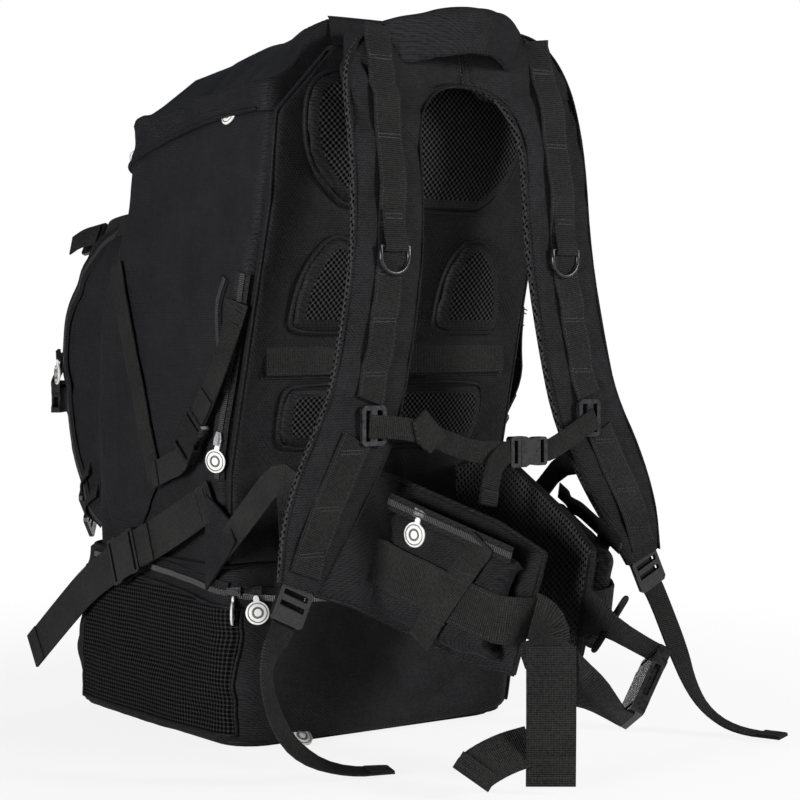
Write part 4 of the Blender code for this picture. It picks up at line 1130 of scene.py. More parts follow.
def build_shoulder_pad():
    """Both shoulder straps and the arch between them, as one horseshoe of padding."""
    lines = []
    for half in strap_edges():
        whole = [Vector((-p.x, p.y, p.z)) for p in half[:0:-1]] + half
        points = cut_corners(whole, 2)
        lines.append([q for a, b in zip(points, points[1:]) for q in (a, a.lerp(b, 0.5))] + points[-1:])
    inner, outer = lines
    route = [(a + b) / 2 for a, b in zip(inner, outer)]
    sides = [(b - a) / 2 for a, b in zip(inner, outer)]
    depths = [along(STRAP_DEPTHS, p.z) for p in route]
    pad = skinned("shoulder_pad", route, sides, depths, SLAB, PADCLOTH)
    pad.data.shade_smooth()
    rumple(pad, harness_folds)
    paint(pad, EDGE_MESH, lambda c, n: n.y > -0.3)
    bend(pad, "pack", "harness", FOLD_TOP, FOLD_LOW, "shoulder_strap_left", "shoulder_strap_right")
    edges = []
    for sign in (-1, 1):
        points = [p + side * sign * 0.985 + OUT * depth * 0.62
                  for p, side, depth in zip(route, sides, depths)]
        edges.append(pipe("binding", points, 1.1 * MM))
    seam = curve([harness_point(0, z) + OUT * 7.2 * MM for z in ARCH_SEAM])
    edges.append(pipe("seam", seam, 1.0 * MM))
    edges.append(stitches("thread", edge_lines(seam, OUT, 7 * MM, 0.3 * MM)))
    bend(joined("shoulder_binding", edges), "pack", "harness", FOLD_TOP, FOLD_LOW)


def slack(z):
    """How far the webbing stands off between two of its tacks."""
    for high, low in zip(STRAP_TACKS, STRAP_TACKS[1:]):
        if low * MM <= z <= high * MM:
            share = (z / MM - low) / (high - low)
            return STRAP_SLACK * (high - low) * MM * math.sin(math.pi * share) ** 2
    return 0.0


def build_strap_webbing(side, sign):
    pad = bpy.data.objects["shoulder_pad"]
    upper = drape(on_strap(sign, 322 * MM, 658 * MM), pad, OUT, 1.2 * MM)
    lower = drape(on_strap(sign, 178 * MM, 296 * MM), pad, OUT, 1.2 * MM)
    upper = [p + OUT * slack(p.z) for p in upper]
    pieces = []
    for route, width in ((upper, 29 * MM), (lower, 31 * MM)):
        pieces.append(ribbon("web", route, OUT, width, 1.6 * MM))
        pieces.append(stitches("thread", edge_lines(route, OUT, width - 5 * MM, 0.7 * MM)))
    tacks = []
    for z in STRAP_TACKS + LOW_TACKS:
        at = min(upper + lower, key=lambda p: abs(p.z - z * MM))
        tacks += [[at + mm(x, -0.8, rise) for x in (-12, 12)] for rise in (-1.5, 1.5)]
    pieces.append(tacked(tacks, 0.8 * MM))
    bend(joined("strap_webbing_" + side, pieces), "pack", "harness", FOLD_TOP, FOLD_LOW)


YOKE_REAR, YOKE_SEAM = -211 * MM, 628 * MM
HINGE_HALF = 92 * MM
HINGE_PATH = [(-197, 647), (-191, 648), (-187.5, 653), (-185.8, 660), (-185, 667), (-184.2, 672),
              (-181.5, 674.4)]
HINGE_LOW, HINGE_TOP = Vector((0, -0.186, 0.664)), Vector((0, -0.182, 0.674))
HANDLE_SEAT, HANDLE_HEIGHT = -251.4 * MM, 641 * MM
HANDLE_HALF, HANDLE_SHIFT, HANDLE_BOW, HANDLE_RISE = 74 * MM, -5 * MM, 44 * MM, 14 * MM


def build_yoke():
    """The yoke pad. Below its seam it is kept clear of the upper back pad."""
    block = cad_mesh("yoke_pad")
    for v in block.vertices:
        if v.co.z < YOKE_SEAM:
            v.co.y = min(v.co.y, YOKE_REAR)
    yoke = puffed("yoke_cloth", block, PADCLOTH, shrink=2.5 * MM)
    paint(yoke, EDGE_MESH, lambda c, n: abs(c.x) < 70 * MM and c.z < 624 * MM)
    seat(yoke, "pack", "yoke_pad")


def build_lid_hinge():
    """The cloth that joins the lid's back edge to the top of the back panel."""
    route = curve([mm(0, y, z) for y, z in HINGE_PATH], 2 * MM)
    cloth = ribbon("lid_hinge_cloth", route, (0, -1, 1), 2 * HINGE_HALF, 1.6 * MM, CROWN, FABRIC)
    bend(cloth, "pack", "lid", HINGE_LOW, HINGE_TOP)


def build_handle():
    """The haul handle: a broad padded band that bows away from the yoke."""
    route = []
    for share in spread(-1, 1, 0.05):
        arch = 1 - share * share
        route.append(Vector((share * HANDLE_HALF + HANDLE_SHIFT, HANDLE_SEAT - HANDLE_BOW * arch,
                             HANDLE_HEIGHT + HANDLE_RISE * arch)))
    handle = ribbon("handle_cloth", route, OUT, 43 * MM, 10.8 * MM, CROWN, PADCLOTH)
    handle.data.shade_smooth()
    finer(handle)
    rumple(handle, lambda p, n: ripple(p, 70, 0.3) - creases(p, (3.9, 26, 20, 10, 1.3)))
    seat(handle, "haul_handle", "haul_handle")


TAILS = {
    "left": [(-232, -300, 122), (-236, -298, 96), (-224, -296, 60), (-200, -292, 30), (-150, -286, 6),
             (-108, -302, 5)],
    "right": [(220, -318, 84), (230, -328, 44), (246, -338, 18), (260, -362, 5), (278, -402, 4)],
}
TAIL_FACINGS = {
    "left": [(0.4, -0.9, 0), (0.6, -0.8, 0), (0.6, -0.8, 0), (0.5, -0.6, 0.4), (0.1, -0.2, 1), (0, 0, 1)],
    "right": [(0, -1, 0), (0.4, -1, 0.4), (0.3, -0.5, 0.9), (0, 0, 1), (0, 0, 1)],
}
LOCK_LENGTH, LOCK_DEPTH = 34 * MM, 4 * MM
ANCHOR_SEAM = (167, -108, 178)
ANCHOR_LOOP = [(172, -150, 206), (167, -226, 272), (184, -264, 226)]
ANCHOR_FACINGS = [(1, 0, 0), (1, -0.2, 0), (0.9, -0.4, 0), (0.4, -1, 0), (0, -1, 0)]
GUSSET = [(170.5, -96, 236), (170.5, -138, 214), (173.5, -152, 196), (170.5, -138, 184), (170.5, -96, 146)]


def hemmed(name, points, facings, width, hem_run=22 * MM):
    """Free webbing whose end is folded over and sewn."""
    main = webbing(name, points, facings, width)
    route = cut_corners([Vector(p) for p in points], 2)
    end, run = route[-1], (route[-1] - route[-2]).normalized()
    face = Vector(facings[-1])
    face = (face - run * face.dot(run)).normalized()
    fold = [end - run * back + face * lift * MM
            for back, lift in ((hem_run, 1.6), (4 * MM, 1.7), (0.3 * MM, 1.3))]
    cover = webbing(name, fold, [face] * 3, width - 0.6 * MM, 1.5 * MM, 1)
    across = run.cross(face) * width * 0.4
    rows = []
    for back in (0.3, 0.9):
        base = end - run * hem_run * back + face * 2.4 * MM
        rows.append([base - across, base + across])
    return joined(name, [main, cover, stitches("thread", rows, 2.6 * MM, 0.7, 0.5 * MM)])


def strap_lock(sign):
    """Where a strap's ladder-lock starts, and the way it points."""
    route = cut_corners([harness_point(sign * x, z) for x, z in STRAP_ROUTE], 1)
    down = (route[-1] - route[-2]).normalized()
    return route[-1] + down * GAP, down


LOCK_PLACING = placing(*strap_lock(-1), OUT)


def build_strap_ends(side, sign):
    """The free tail below a ladder-lock, and the webbing that anchors the strap to the bag."""
    lock, down = strap_lock(sign)
    points = [lock + down * far * MM - OUT * LOCK_DEPTH for far in (2, 16, 28)]
    points += [lock + down * (LOCK_LENGTH + GAP + 8 * MM)] + [mm(*p) for p in TAILS[side]]
    facings = [OUT] * 4 + TAIL_FACINGS[side]
    seat(hemmed("tail_webbing_" + side, points, facings, STRAP_WEB), "harness", "strap_tail_" + side)
    sewn, *loop = [mm(sign * x, y, z) for x, y, z in [ANCHOR_SEAM] + ANCHOR_LOOP]
    ending = lock + down * 10 * MM - OUT * LOCK_DEPTH
    facings = [(sign * x, y, z) for x, y, z in ANCHOR_FACINGS]
    anchor = webbing("anchor_webbing_" + side, [sewn] + loop + [ending], facings, STRAP_WEB)
    bend(anchor, "pack", "harness", sewn, ending, "strap_anchor_" + side)
    skin = [mm(sign * x, y, z) for x, y, z in GUSSET]
    seat(flap("anchor_gusset_" + side, skin, (sign, 0, 0), 2.4 * MM, FABRIC), "pack")


RING_X, RING_Y, RING_TOP = 98, -293.94, 462
RING_HALF, RING_DROP, RING_WIRE = 15 * MM, 24 * MM, 2.2 * MM
RING_LOOP = [(2.1, 494), (1.6, 482), (-0.9, 472), (-3.4, 466), (-3.7, 460), (-2.1, 457.6)]
RING_FACINGS = [(0, -1, 0), (0, -1, 0.1), (0, -0.9, 0.4), (0, -1, 0.1), (0, -1, -0.4), (0, -0.5, -0.9)]


def build_d_ring(side, sign):
    """A D-ring and the loop of webbing that holds it."""
    top = mm(sign * RING_X, RING_Y, RING_TOP)
    path = [top + Vector((x, 0, 0)) for x in spread(-RING_HALF, RING_HALF, 3 * MM)]
    path += [top + Vector((RING_HALF * math.cos(a), 0, RING_HALF - RING_DROP - RING_HALF * math.sin(a)))
             for a in spread(0, math.pi, math.pi / 20)]
    seat(pipe("ring_wire_" + side, path, RING_WIRE, METAL, 12, True), "d_ring_" + side, "d_ring_" + side)
    points = [mm(sign * RING_X, RING_Y + depth, z) for depth, z in RING_LOOP]
    loop = webbing("loop", points, RING_FACINGS, 24 * MM, 1.4 * MM)
    tack = tacked([[mm(sign * RING_X + x, RING_Y + 1, z) for x in (-9, 9)] for z in (490, 486)])
    bend(joined("ring_loop_" + side, [loop, tack]), "pack", "harness", FOLD_TOP, FOLD_LOW)


CHEST_WEB = 20 * MM
CHEST_PLANE, CHEST_PLATE = -304.27, -300.92
CHEST_SOCKET, CHEST_CLIP = mm(64.3, CHEST_PLANE, 278), mm(22, CHEST_PLANE, 278)
CHEST_BAR = mm(8.3, 0, 0)
CHEST_FOLD = ((-87, 309), (-75, 319), (-52, 295), (-70, 281), (-82, 290))
CHEST_TAIL = [(4, -309, 272), (-6, -313, 252), (-10, -313, 232)]


def build_chest_strap():
    right = [mm(130.5, CHEST_PLATE, 306), CHEST_SOCKET + CHEST_BAR, CHEST_SOCKET - mm(3, 0, 0)]
    seat(webbing("chest_webbing_right", right, [OUT] * 3, CHEST_WEB), "harness", "sternum_webbing_right")
    start = mm(-130.5, CHEST_PLATE, 306)
    left = [start, mm(-80, CHEST_PLANE, 302), mm(-24, CHEST_PLANE, 280), CHEST_CLIP - CHEST_BAR,
            CHEST_CLIP + mm(3, 0, 0)]
    strap = webbing("chest_webbing_left", left, [OUT] * 5, CHEST_WEB)
    bend(strap, "harness", "sternum_clip", start, CHEST_CLIP, "sternum_webbing_left")
    keeper = flap("chest_fold", [mm(x, -307, z) for x, z in CHEST_FOLD], (0.1, -1, 0), 3.4 * MM)
    bend(keeper, "harness", "sternum_clip", start, CHEST_CLIP)
    hang = [CHEST_CLIP + mm(2, -1.5, 2)] + [mm(*p) for p in CHEST_TAIL]
    seat(hemmed("chest_tail", hang, [OUT] * 4, CHEST_WEB, 14 * MM), "sternum_clip")


# Side wings, straps, net panels and zips

WING_ROWS = [(196, 30, 92), (225, 8, 104), (245, -10, 108), (300, 12, 110), (380, 43, 110), (440, 67, 106),
             (454, 73, 100)]
WING_LOW = line(*[(z, low) for z, low, high in WING_ROWS])
WING_HIGH = line(*[(z, high) for z, low, high in WING_ROWS])
NET_BACK, NET_FRONT, NET_FLOOR = -132 * MM, 142 * MM, 14 * MM
NET_TOP = line((-132, 131), (-70, 138), (-12, 144), (60, 147), (142, 147))


def side_skin(sign, y, z, lift=0.0):
    return Vector((sign * (along(SIDE_LINE, z) + lift), y, z))


def open_cloth(name, rows, sign, thick, finish):
    """One layer of cloth on a side, facing out."""
    faces = strip(rows)
    cloth = make(name, flat(rows), faces if sign < 0 else [f[::-1] for f in faces], finish)
    return walled(cloth, thick)


def build_side_wing(side, sign, bag):
    face = Vector((sign, 0, 0))
    rows = []
    for z in spread(196 * MM, 454 * MM, 5 * MM):
        low, high = along(WING_LOW, z), along(WING_HIGH, z)
        row = drape([side_skin(sign, low + (high - low) * k / 24, z) for k in range(25)], bag, face, 2.4 * MM)
        rows.append([p + face * noise.noise(Vector((p.y * 30, z * 22, sign * 4))) * 0.8 * MM for p in row])
    wing = open_cloth("wing_cloth_" + side, rows, sign, 1.2 * MM, FABRIC)
    seat(wing, "pack", "side_wing_" + side)
    rim = [side_skin(sign, along(WING_LOW, z) + 9 * MM, z) for z in spread(242 * MM, 452 * MM, 8 * MM)]
    route = curve(drape(rim, bag, face, 3.8 * MM))
    edge = ribbon("web", route, face, 24 * MM, 1.6 * MM)
    thread = stitches("thread", edge_lines(route, face, 20 * MM, 0.7 * MM))
    seat(joined("wing_edge_" + side, [edge, thread]), "pack")


# Seam and buckle as y and z, the way through the buckle, width, distance from the middle, buckle length
SIDE_STRAPS = (("upper", (-133, 376), (-98, 308), (0.62, -0.78), 25, 178.85, 46.3),
               ("lower", (-104, 232), (14, 176), (0.93, -0.37), 38, 179.35, 54.3))
UPPER_STRAP_TOP = 414 * MM
UPPER_TAIL = [(177.5, -38, 258), (174.5, -4, 247)]
LOWER_TAIL = [(179.35, 120, 130), (179.35, 180, 90), (179.35, 244, 46)]
STRAP_TURN = ((-26, 1.9), (-8, 2.2), (6, 3.4))


def build_side_straps(side, sign):
    face = Vector((sign, 0, 0))
    for name, seam, buckle, axis, wide, stand, total in SIDE_STRAPS:
        width = wide * MM
        run = Vector((0, *axis)).normalized()
        start = mm(sign * stand, *buckle)
        sewn = side_skin(sign, seam[0] * MM, seam[1] * MM, 2.2 * MM)
        points = [sewn, start - run * (start - sewn).length * 0.55, start + run * 5 * MM]
        facings = [face] * 3
        if name == "upper":
            top, turned = side_corner(sign, UPPER_STRAP_TOP, 2.6 * MM)
            points, facings = [top] + points, [turned] + facings
        web = webbing("web", points, facings, width)
        way = (points[1] - points[0]).normalized()
        across = face.cross(way) * width * 0.38
        tacks = []
        for step in (4, 8, 20):
            at = points[0] + way * step * MM + facings[0] * 1.4 * MM
            tacks.append([at - across, at + across])
        turn = [start + run * far * MM + face * lift * MM for far, lift in STRAP_TURN]
        pieces = [web, webbing("turn", turn, [face] * 3, width - 0.8 * MM, 1.5 * MM), tacked(tacks)]
        seat(joined(name + "_webbing_" + side, pieces), "pack", name + "_strap_" + side)
        rear = start + run * total * MM
        if name == "upper":
            points = [rear - run * 6 * MM, rear + run * 10 * MM]
            points += [mm(sign * x, y, z) for x, y, z in UPPER_TAIL]
            seat(hemmed("upper_tail_" + side, points, [face] * 4, width, 14 * MM), "upper_clip_" + side)
        else:
            points = [rear - run * 6 * MM, rear + run * 8 * MM]
            points += [mm(sign * x, y, z) for x, y, z in LOWER_TAIL]
            tail = hemmed("lower_tail_webbing_" + side, points, [face] * 5, width)
            seat(tail, "lower_clip_" + side, "lower_tail_" + side)


def build_net(side, sign, bag):
    face = Vector((sign, 0, 0))
    rows = []
    for share in spread(0, 1, 0.04):
        row = [Vector((sign * 170 * MM, y, NET_FLOOR + (along(NET_TOP, y) - NET_FLOOR) * share))
               for y in spread(NET_BACK, NET_FRONT, 6 * MM)]
        row = drape(row, bag, face, 1.9 * MM)
        rows.append([p + face * noise.noise(Vector((p.y * 25, p.z * 25, 7))) * 0.8 * MM for p in row])
    net = open_cloth("net_panel_" + side, rows, sign, 0.8 * MM, NET)
    seat(net, "pack")
    rim = rows[0] + [row[-1] for row in rows] + rows[-1][::-1] + [row[0] for row in rows[::-1]]
    seat(pipe("net_rim_" + side, [p + face * 0.4 * MM for p in rim], 1.7 * MM, ring=True), "pack")


# Zips on the sides, as y and z in millimetres
OPEN_ZIP = ((-119, 352), (-108, 382), (-110, 415), (-124, 436))
LOWER_ZIP = ((128, 160), (60, 159), (-12, 157), (-70, 151), (-118, 145))
BACK_ZIP_HALF, BACK_ZIP_Y, BACK_ZIP_TOP, BACK_ZIP_SAG = 155 * MM, -135 * MM, 142 * MM, 10 * MM


def build_side_zips(bag, lower):
    for side, sign in SIDES:
        face = (sign, 0, 0)
        path = [side_corner(sign, z)[0] for z in spread(250 * MM, 440 * MM, 10 * MM)]
        zipped("side_zip_" + side, path, side_corner(sign, 300 * MM)[1], bag, "pack", 16 * MM)
        path = [mm(sign * 168, y, z) for y, z in OPEN_ZIP]
        zipped("side_zip_open_" + side, path, face, bag, "pack", 12 * MM)
        path = [mm(sign * 168, y, z) for y, z in LOWER_ZIP]
        zipped("lower_zip_" + side, path, face, lower, "pack")
    path = [Vector((x, BACK_ZIP_Y, BACK_ZIP_TOP - BACK_ZIP_SAG * (1 - (x / (150 * MM)) ** 2)))
            for x in spread(-BACK_ZIP_HALF, BACK_ZIP_HALF, 20 * MM)]
    zipped("lower_zip_back", path, OUT, lower, "pack")


# Hip belt

BELT_ROUTE = [(104, -126.8, 211), (104, -184, 209), (76, -250, 193), (32, -398, 146)]
BELT_HALVES = line((0, 42), (57, 64), (150, 64), (240, 64), (300, 54))
BELT_WEB, BELT_BINDING = 42 * MM, 2.3 * MM
HIP_POCKET_FACE = 30.8 * MM
POCKET_BELT_END = ((0.99, 24), (1.01, 10), (1.02, 1))
HIP_SOCKET, HIP_BUCKLE = mm(29, -456, 58), 64.3 * MM
HIP_AXIS = Vector((0.62, 0.10, 0.78)).normalized()
HIP_FACE = Vector((-0.62, 0.50, 0.42))
HOOK = mm(-42, -438, 113)
HOOK_FACE = Vector((-0.6, -0.8, 0))
HOOK_RUN = Vector((0.566, -0.424, -0.707))
BELT_CURL = ((-50, -424, 40), (-76, -420, 36), (-104, -417, 26), (-112, -418, 18))
CURL_FACE = (-0.1, -0.8, 0.6)


def belt_frame(sign):
    """Where a wing's straight part starts, its direction, length, outward face and upward side."""
    start, end = (mm(sign * x, y, z) for x, y, z in BELT_ROUTE[2:])
    direction = (end - start).normalized()
    outward = Vector((0, 0, -1)).cross(direction).normalized()
    outward = outward if outward.x * sign > 0 else -outward
    up = outward.cross(direction).normalized()
    return start, direction, (end - start).length, outward, up if up.z > 0 else -up


def build_hip_wing(side, sign):
    start, direction, run, outward = belt_frame(sign)[:4]
    seam, turn = (mm(sign * x, y, z) for x, y, z in BELT_ROUTE[:2])
    bent = cut_corners([seam, turn, start - direction * 25 * MM, start], 2)
    route = evenly(bent + [start + direction * run], 6 * MM)
    far, halves = 0.0, []
    for i, point in enumerate(route):
        far += (point - route[i - 1]).length if i else 0.0
        halves.append(along(BELT_HALVES, far))
    wing = swept("hip_pad_" + side, route, [outward] * len(route), halves, 5.8 * MM, CROWN, FABRIC)
    wing.data.shade_smooth()
    rumple(wing, lambda p, n: ripple(p, 70, 0.3) - creases(p, (2.7 + sign, 12, 12, 12, 1.6)))
    paint(wing, EDGE_MESH, lambda c, n: n.dot(outward) < -0.2)
    seat(wing, "hip_belt", "hip_wing_" + side)
    sides = [t.cross(outward).normalized() * half for t, half in zip(tangents(route), halves)]
    edges = [pipe("edge", [p + s * u for p, s in zip(route, sides)], BELT_BINDING) for u in (-1, 1)]
    across = direction.cross(outward).normalized() * halves[-1]
    edges.append(pipe("edge", [route[-1] + across * u for u in (-1, -0.5, 0, 0.5, 1)], BELT_BINDING))
    seat(joined("hip_binding_" + side, edges), "hip_belt")


def build_hip_pocket(side, sign):
    start, direction, run, outward, up = belt_frame(sign)

    def spot(share, rise):
        return start + direction * run * share + up * rise * MM + outward * HIP_POCKET_FACE

    source = cad_mesh("hip_pocket_" + side)
    pocket = puffed("pocket_cloth_" + side, source, FABRIC, cap=6 * MM, shrink=3.0 * MM)
    rumple(pocket, lambda p, n: ripple(p, 60, 0.4) - creases(p, (6.1 + sign, 16, 16, 20, 2.2)))
    seat(pocket, "hip_belt", "hip_pocket_" + side)
    shares = (0.08, 0.3, 0.6, 0.92)
    zipped("hip_zip_" + side, [spot(s, 52) for s in shares], outward, pocket, "hip_belt", 15 * MM)
    belt = [spot(s, -3 - 3 * s) for s in (0.07, *shares[1:])]
    route = drape(curve(belt), pocket, outward, 1.2 * MM)
    route += [start + direction * run * s + outward * o * MM - up * 4 * MM for s, o in POCKET_BELT_END]
    route = evenly(cut_corners(route, 1), 6 * MM)
    web = ribbon("web", route, outward, BELT_WEB, 1.8 * MM)
    lines = edge_lines(route[:-6], outward, BELT_WEB - 6 * MM, 1.0 * MM)
    path = [spot(0.74, 54), spot(0.62, 0), spot(0.5, -54)]
    cross = band_on("cross", path, outward, 25 * MM, pocket, lift=3.2 * MM)
    tacks = [evenly([spot(s, r), spot(s + 0.1, r)], 3 * MM) for s, r in ((0.62, 22), (0.55, -28))]
    tacks = [drape(tack, pocket, outward, 4.4 * MM) for tack in tacks]
    seat(joined("pocket_webbing_" + side, [web, cross, stitches("thread", lines), tacked(tacks)]), "hip_belt")


def belt_end(name, sign, rear, stretch):
    """The webbing from a wing's tip to its half of the buckle, by way of a stretch of points."""
    start, direction, run, outward = belt_frame(sign)[:4]
    tip = start + direction * (run + GAP)
    bar = HIP_FACE.cross(HIP_AXIS).normalized()
    arrival = HIP_AXIS.cross(bar).normalized()
    if arrival.dot(rear - tip) < 0:
        arrival = -arrival
    if bar.dot(direction.cross(outward)) < 0:
        bar = -bar
    ending = bar.cross(arrival)
    points = [tip - direction * 6 * MM, tip + direction * 20 * MM, *stretch, rear - arrival * 20 * MM, rear]
    facings = [outward, outward] + [HOOK_FACE] * len(stretch) + [ending, ending]
    return webbing(name, points, facings, BELT_WEB), tip


def build_belt_webbing():
    off = HIP_AXIS * 1.2 * MM
    clip = HIP_SOCKET + HIP_AXIS * HIP_BUCKLE
    stretch = [HOOK + HOOK_RUN * s * MM for s in (-8, 0, 20, 32)]
    seat(belt_end("belt_web_left", -1, HIP_SOCKET - off, stretch)[0], "hip_belt", "belt_webbing_left")
    right, tip = belt_end("belt_web_right", 1, clip + off, [])
    bend(right, "hip_belt", "hip_clip", tip, clip, "belt_webbing_right")
    run = (clip - tip).normalized()
    side = run.cross(UP).normalized()
    width = run.cross(side).normalized()
    middle = tip + (clip - tip) * 0.34
    around = [middle + width * u * 27 * MM + side * v * 5 * MM for u, v in rounded(24, 0.3, 0.6)]
    bend(pipe("belt_keeper", around, 2.6 * MM, WEBBING, 8, True), "hip_belt", "hip_clip", tip, clip)
    top = HOOK + HOOK_FACE * 2.1 * MM
    bottom = Vector((top.x, top.y, 7 * MM))
    top += UP * 12 * MM
    tail = [top, (top + bottom) / 2 + HOOK_FACE * 4 * MM, bottom]
    seat(hemmed("belt_tail_web", tail, [HOOK_FACE] * 3, BELT_WEB, 26 * MM), "hip_belt", "belt_tail")
    curl = [mm(*p) for p in BELT_CURL]
    seat(hemmed("belt_curl", curl, [CURL_FACE] * 4, 36 * MM, 16 * MM), "hip_belt")


# Front pocket's zips, straps and buckle loops

FRONT_ZIP = ((0.50, 184), (0.62, 240), (0.72, 320), (0.74, 400), (0.62, 456), (0.40, 488))
POCKET_STRAP = ((106, 500), (150, 497), (200, 493), (232, 488))
POCKET_LOCK = (206, 492)
POCKET_TAIL = ((2, 6, 3), (8, 30, 0), (12, 48, -8))
FRONT_WEB = 24 * MM
BUCKLE_PIVOT = (131.5, 271.75, 332)
BUCKLE_LOOP = ((5.4, 2), (5.6, -8), (1.0, -9.5))


def pocket_side(sign, share, z):
    """A point on the front pocket's side wall: share 0 is at the bag and 1 at the front."""
    back = along(MAIN_FRONT_LINE, z)
    return Vector((sign * along(POCKET_SIDE_LINE, z), back + (along(POCKET_FRONT_LINE, z) - back) * share, z))


def lock_copy(name, at, axis, face):
    return copy_of(name, "ladder_lock_left", LOCK_PLACING, placing(at, axis, face), PLASTIC)


def build_pocket_strap(side, sign, pocket):
    over = Vector((sign, 0, 0.5)).normalized()
    strap = band_on("strap", [mm(sign * 128, y, z) for y, z in POCKET_STRAP], over, 25 * MM, pocket)
    spot = drape([mm(sign * 128, *POCKET_LOCK)], pocket, over, 3.2 * MM)[0]
    plate = lock_copy("lock", spot, (0, 1, -0.1), over)
    tail = webbing("tail", [spot + mm(sign * x, y, z) for x, y, z in POCKET_TAIL], [over] * 3, FRONT_WEB)
    seat(joined("pocket_strap_" + side, [strap, plate, tail]), "pack")


def build_front_loop(side, sign, pocket, corner):
    x, y, z = BUCKLE_PIVOT
    pivot = mm(sign * x, y, z)
    base = drape([pivot + UP * rise * MM for rise in (30, 16)], pocket, corner, 1.2 * MM)
    points = base + [pivot + corner * far * MM + UP * rise * MM for far, rise in BUCKLE_LOOP]
    loop = webbing("web", points, [corner] * 4 + [-UP], FRONT_WEB, 1.5 * MM)
    tack = [base[0] + mm(-sign, sign, 0) * k * 6 + corner * 1.2 * MM for k in (-1, 1)]
    seat(joined("front_loop_" + side, [loop, tacked([tack])]), "pack")


def build_adjusters(side, sign, pocket, corner):
    way = Vector((-sign * 0.5, 0.5, -0.6))
    for name, z in (("upper", 222), ("lower", 200)):
        at = drape([pocket_side(sign, 0.86, z * MM)], pocket, corner, 2.6 * MM)[0]
        plate = lock_copy("adjuster", at, way, corner)
        route = drape(evenly([at - way * 40 * MM, at + way * 26 * MM], 8 * MM), pocket, corner, 1.0 * MM)
        strap = webbing("web", route, [corner] * len(route), FRONT_WEB)
        seat(joined("adjuster_" + name + "_" + side, [plate, strap]), "pack")


def build_front(pocket):
    for side, sign in SIDES:
        path = [pocket_side(sign, share, z * MM) for share, z in FRONT_ZIP]
        zipped("front_zip_" + side, path, Vector((sign, 0.25, 0)).normalized(), pocket, "pack")
        corner = Vector((sign, 1, 0)).normalized()
        build_pocket_strap(side, sign, pocket)
        build_front_loop(side, sign, pocket, corner)
        build_adjusters(side, sign, pocket, corner)


HIP_PIVOT = mm(-89.68, -316.63, 223.73)
LID_TAG_Y, LID_TAG_Z = -117 * MM, 600 * MM
CORNER_PULL_LINE, CORNER_PULL_Z = 148 * MM, 147 * MM
CORNER_PULLS = (("first", 50, (0.8, -0.6, 0.1)), ("second", 80, (-0.45, -0.9, 0.1)))
# Pulls that only show: their place in millimetres, the way they run and the way they face
BAG_PULLS = (("pull_lower_right", (160, -118, 147), (0.5, 1, 0.05), (0.7, -0.7, 0), (0, 0, -1)),
             ("pull_front_left", (-144, 246, 360), (0, 0.1, 1), (-1, 0.25, 0), (0, 0.1, -1)),
             ("pull_front_right", (144, 246, 360), (0, 0.1, 1), (1, 0.25, 0), (0, 0.1, -1)))


def build_pulls():
    """The tags that move, and the tags and pulls that only show."""
    outward, up = belt_frame(-1)[3:]
    seat(tag("side_tag", SIDE_PIVOT, -SIDE_RISE, SIDE_FACE), "side_zip_tag", "side_zip_tag")
    seat(tag("hip_tag", HIP_PIVOT, -up, outward), "hip_zip_tag", "hip_zip_tag")
    pivot = Vector((4 * MM - along(SIDE_LINE, LID_TAG_Z), LID_TAG_Y, LID_TAG_Z))
    seat(tag("lid_tag", pivot, (-0.36, 0, -1), LEFT), "lid")
    seat(tag("base_tag", mm(-104, -139, 17), (0.3, -0.75, -0.6), (0, -0.6, 0.75)), "pack")
    for name, at, run, face, hang in BAG_PULLS:
        pull(name, mm(*at), run, face, hang, "pack")
    start, direction, run, outward, up = belt_frame(1)
    spot = start + direction * run * 0.3 + up * 52 * MM + outward * 28 * MM
    pull("pull_hip_right", spot, direction, outward, -up, "hip_belt")
    corner = Vector((LOWER_CORNER - along(SIDE_LINE, CORNER_PULL_LINE),
                     LOWER_CORNER + along(BACK_LINE, CORNER_PULL_LINE), CORNER_PULL_Z))
    for name, degrees, turn in CORNER_PULLS:
        face = Vector((-math.cos(math.radians(degrees)), -math.sin(math.radians(degrees)), 0))
        at = corner + face * (LOWER_CORNER + 3.0 * MM)
        pull("pull_lower_" + name, at, face.cross(UP), face, face * 0.25 - UP, "pack", turn)
    at, rise, face = side_zip_frame(1)
    pull("pull_side_right", at, rise, face, -rise, "pack")


def dress_cad():
    """Finishes and soft edges for the CAD pieces that show as they are."""
    finishes = {"black_plastic": PLASTIC, "dark_metal": METAL, "zip_metal": SILVER, "tag_white": WHITE,
                "frame_plastic": SHEET}
    slots = {piece["node"]: piece["material_slot"] for piece in frame["record"]["subparts"]}
    for name, obj in NODES.items():
        if obj.hide_render:
            continue
        obj.data.materials.clear()
        obj.data.materials.append(DULL if name.startswith("front_buckle") else finishes[slots[name]])
        soft = obj.modifiers.new("edges", "BEVEL")
        soft.width = 0.5 * MM
        soft.segments = 2
        soft.limit_method = "ANGLE"


build_main_bag()
build_lower_bag()
build_front_pocket()
build_lid()
build_back_panel()
build_yoke()
build_lid_hinge()
build_shoulder_pad()
build_handle()
build_chest_strap()
for side, sign in SIDES:
    build_strap_webbing(side, sign)
    build_strap_ends(side, sign)
    build_d_ring(side, sign)
    build_side_wing(side, sign, bpy.data.objects["bag_main"])
    build_side_straps(side, sign)
    build_net(side, sign, bpy.data.objects["bag_lower"])
    build_hip_wing(side, sign)
    build_hip_pocket(side, sign)
build_side_zips(bpy.data.objects["bag_main"], bpy.data.objects["bag_lower"])
build_belt_webbing()
build_front(bpy.data.objects["bag_pocket"])
build_pulls()
dress_cad()


# Stage, light and camera

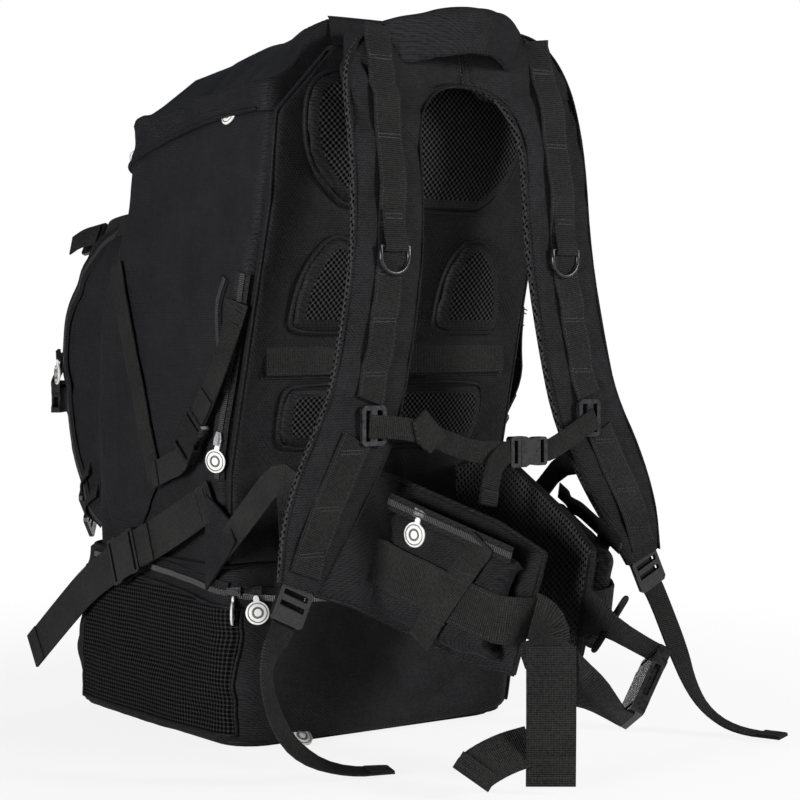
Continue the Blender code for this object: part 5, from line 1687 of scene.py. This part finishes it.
FLOOR_HALF, FLOOR_DROP = 6, -0.5 * MM
PHOTO_PIXELS, PHOTO_FOCAL, SENSOR = 800, 2079, 36
CAMERA_AT, CAMERA_TILT, CAMERA_TURN = (-1.1726, -1.7535, 0.3973), 87.8, -36.5


def white_backdrop(tree, lit, white, output, share=None):
    """Shows a white surface to the camera, by a share where one is given, and the lit one to all else."""
    seen = node(tree, "ShaderNodeLightPath").outputs["Is Camera Ray"]
    mix = node(tree, "ShaderNodeMixShader")
    tree.links.new(maths(tree, "MULTIPLY", share, seen) if share else seen, mix.inputs["Fac"])
    tree.links.new(lit, mix.inputs[1])
    tree.links.new(white, mix.inputs[2])
    tree.links.new(mix.outputs["Shader"], tree.nodes[output].inputs["Surface"])


def build_stage():
    made, tree, shader = blank("floor_white")
    place = node(tree, "ShaderNodeTexCoord").outputs["Object"]
    tone = ramp(tree, blotch(tree, place, 0.4), 0.3, 0.7, (0.90,) * 3, (0.93,) * 3)
    tree.links.new(tone, shader.inputs["Base Color"])
    put(shader, {"Roughness": 0.8, "Specular IOR Level": 0.1})
    far = node(tree, "ShaderNodeVectorMath", operation="LENGTH")
    tree.links.new(place, far.inputs[0])
    share = ramp(tree, far.outputs["Value"], 0.35, 1.0, (0.85,) * 3, (1.0,) * 3)
    glow = node(tree, "ShaderNodeEmission", {"Color": (1, 1, 1, 1), "Strength": 1.0})
    white_backdrop(tree, shader.outputs["BSDF"], glow.outputs["Emission"], "Material Output", share)
    ends = (-FLOOR_HALF, FLOOR_HALF)
    rows = [[Vector((x, y, FLOOR_DROP)) for x in ends] for y in ends]
    floor = make("floor", flat(rows), strip(rows), made)
    SCENE.world = bpy.data.worlds.new("studio")
    SCENE.world.use_nodes = True
    tree = SCENE.world.node_tree
    light = tree.nodes["Background"]
    put(light, {"Color": (0.94, 0.96, 1.0, 1), "Strength": 0.07})
    seen = node(tree, "ShaderNodeBackground", {"Color": (1, 1, 1, 1), "Strength": 1.0})
    white_backdrop(tree, light.outputs["Background"], seen.outputs["Background"], "World Output")


def lamp(name, at, aim, size, watts, mirrored=True):
    """A round lamp. One that isn't mirrored leaves no glints on the plastic."""
    data = bpy.data.lights.new(name, "AREA")
    data.shape = "DISK"
    data.size = size
    data.energy = watts
    made = shown(name, data)
    made.location = at
    made.rotation_euler = (Vector(aim) - Vector(at)).to_track_quat("-Z", "Y").to_euler()
    made.visible_glossy = mirrored


def build_camera():
    data = bpy.data.cameras.new("photo_view")
    data.lens = PHOTO_FOCAL / PHOTO_PIXELS * SENSOR
    data.clip_end = 50
    made = shown("photo_view", data)
    made.location = CAMERA_AT
    made.rotation_euler = (math.radians(CAMERA_TILT), 0, math.radians(CAMERA_TURN))
    SCENE.camera = made


build_stage()
lamp("key", (1.4, -2.6, 1.2), (0, -0.1, 0.32), 0.8, 62)
lamp("side", (-2.55, -1.0, 0.5), (0, -0.15, 0.25), 0.9, 74)
lamp("rim", (1.5, 2.3, 0.6), (0, 0.1, 0.35), 1.0, 24, False)
lamp("far", (2.5, 0.9, 0.7), (0, 0, 0.35), 1.0, 30, False)
build_camera()
SCENE.view_settings.view_transform = "Standard"
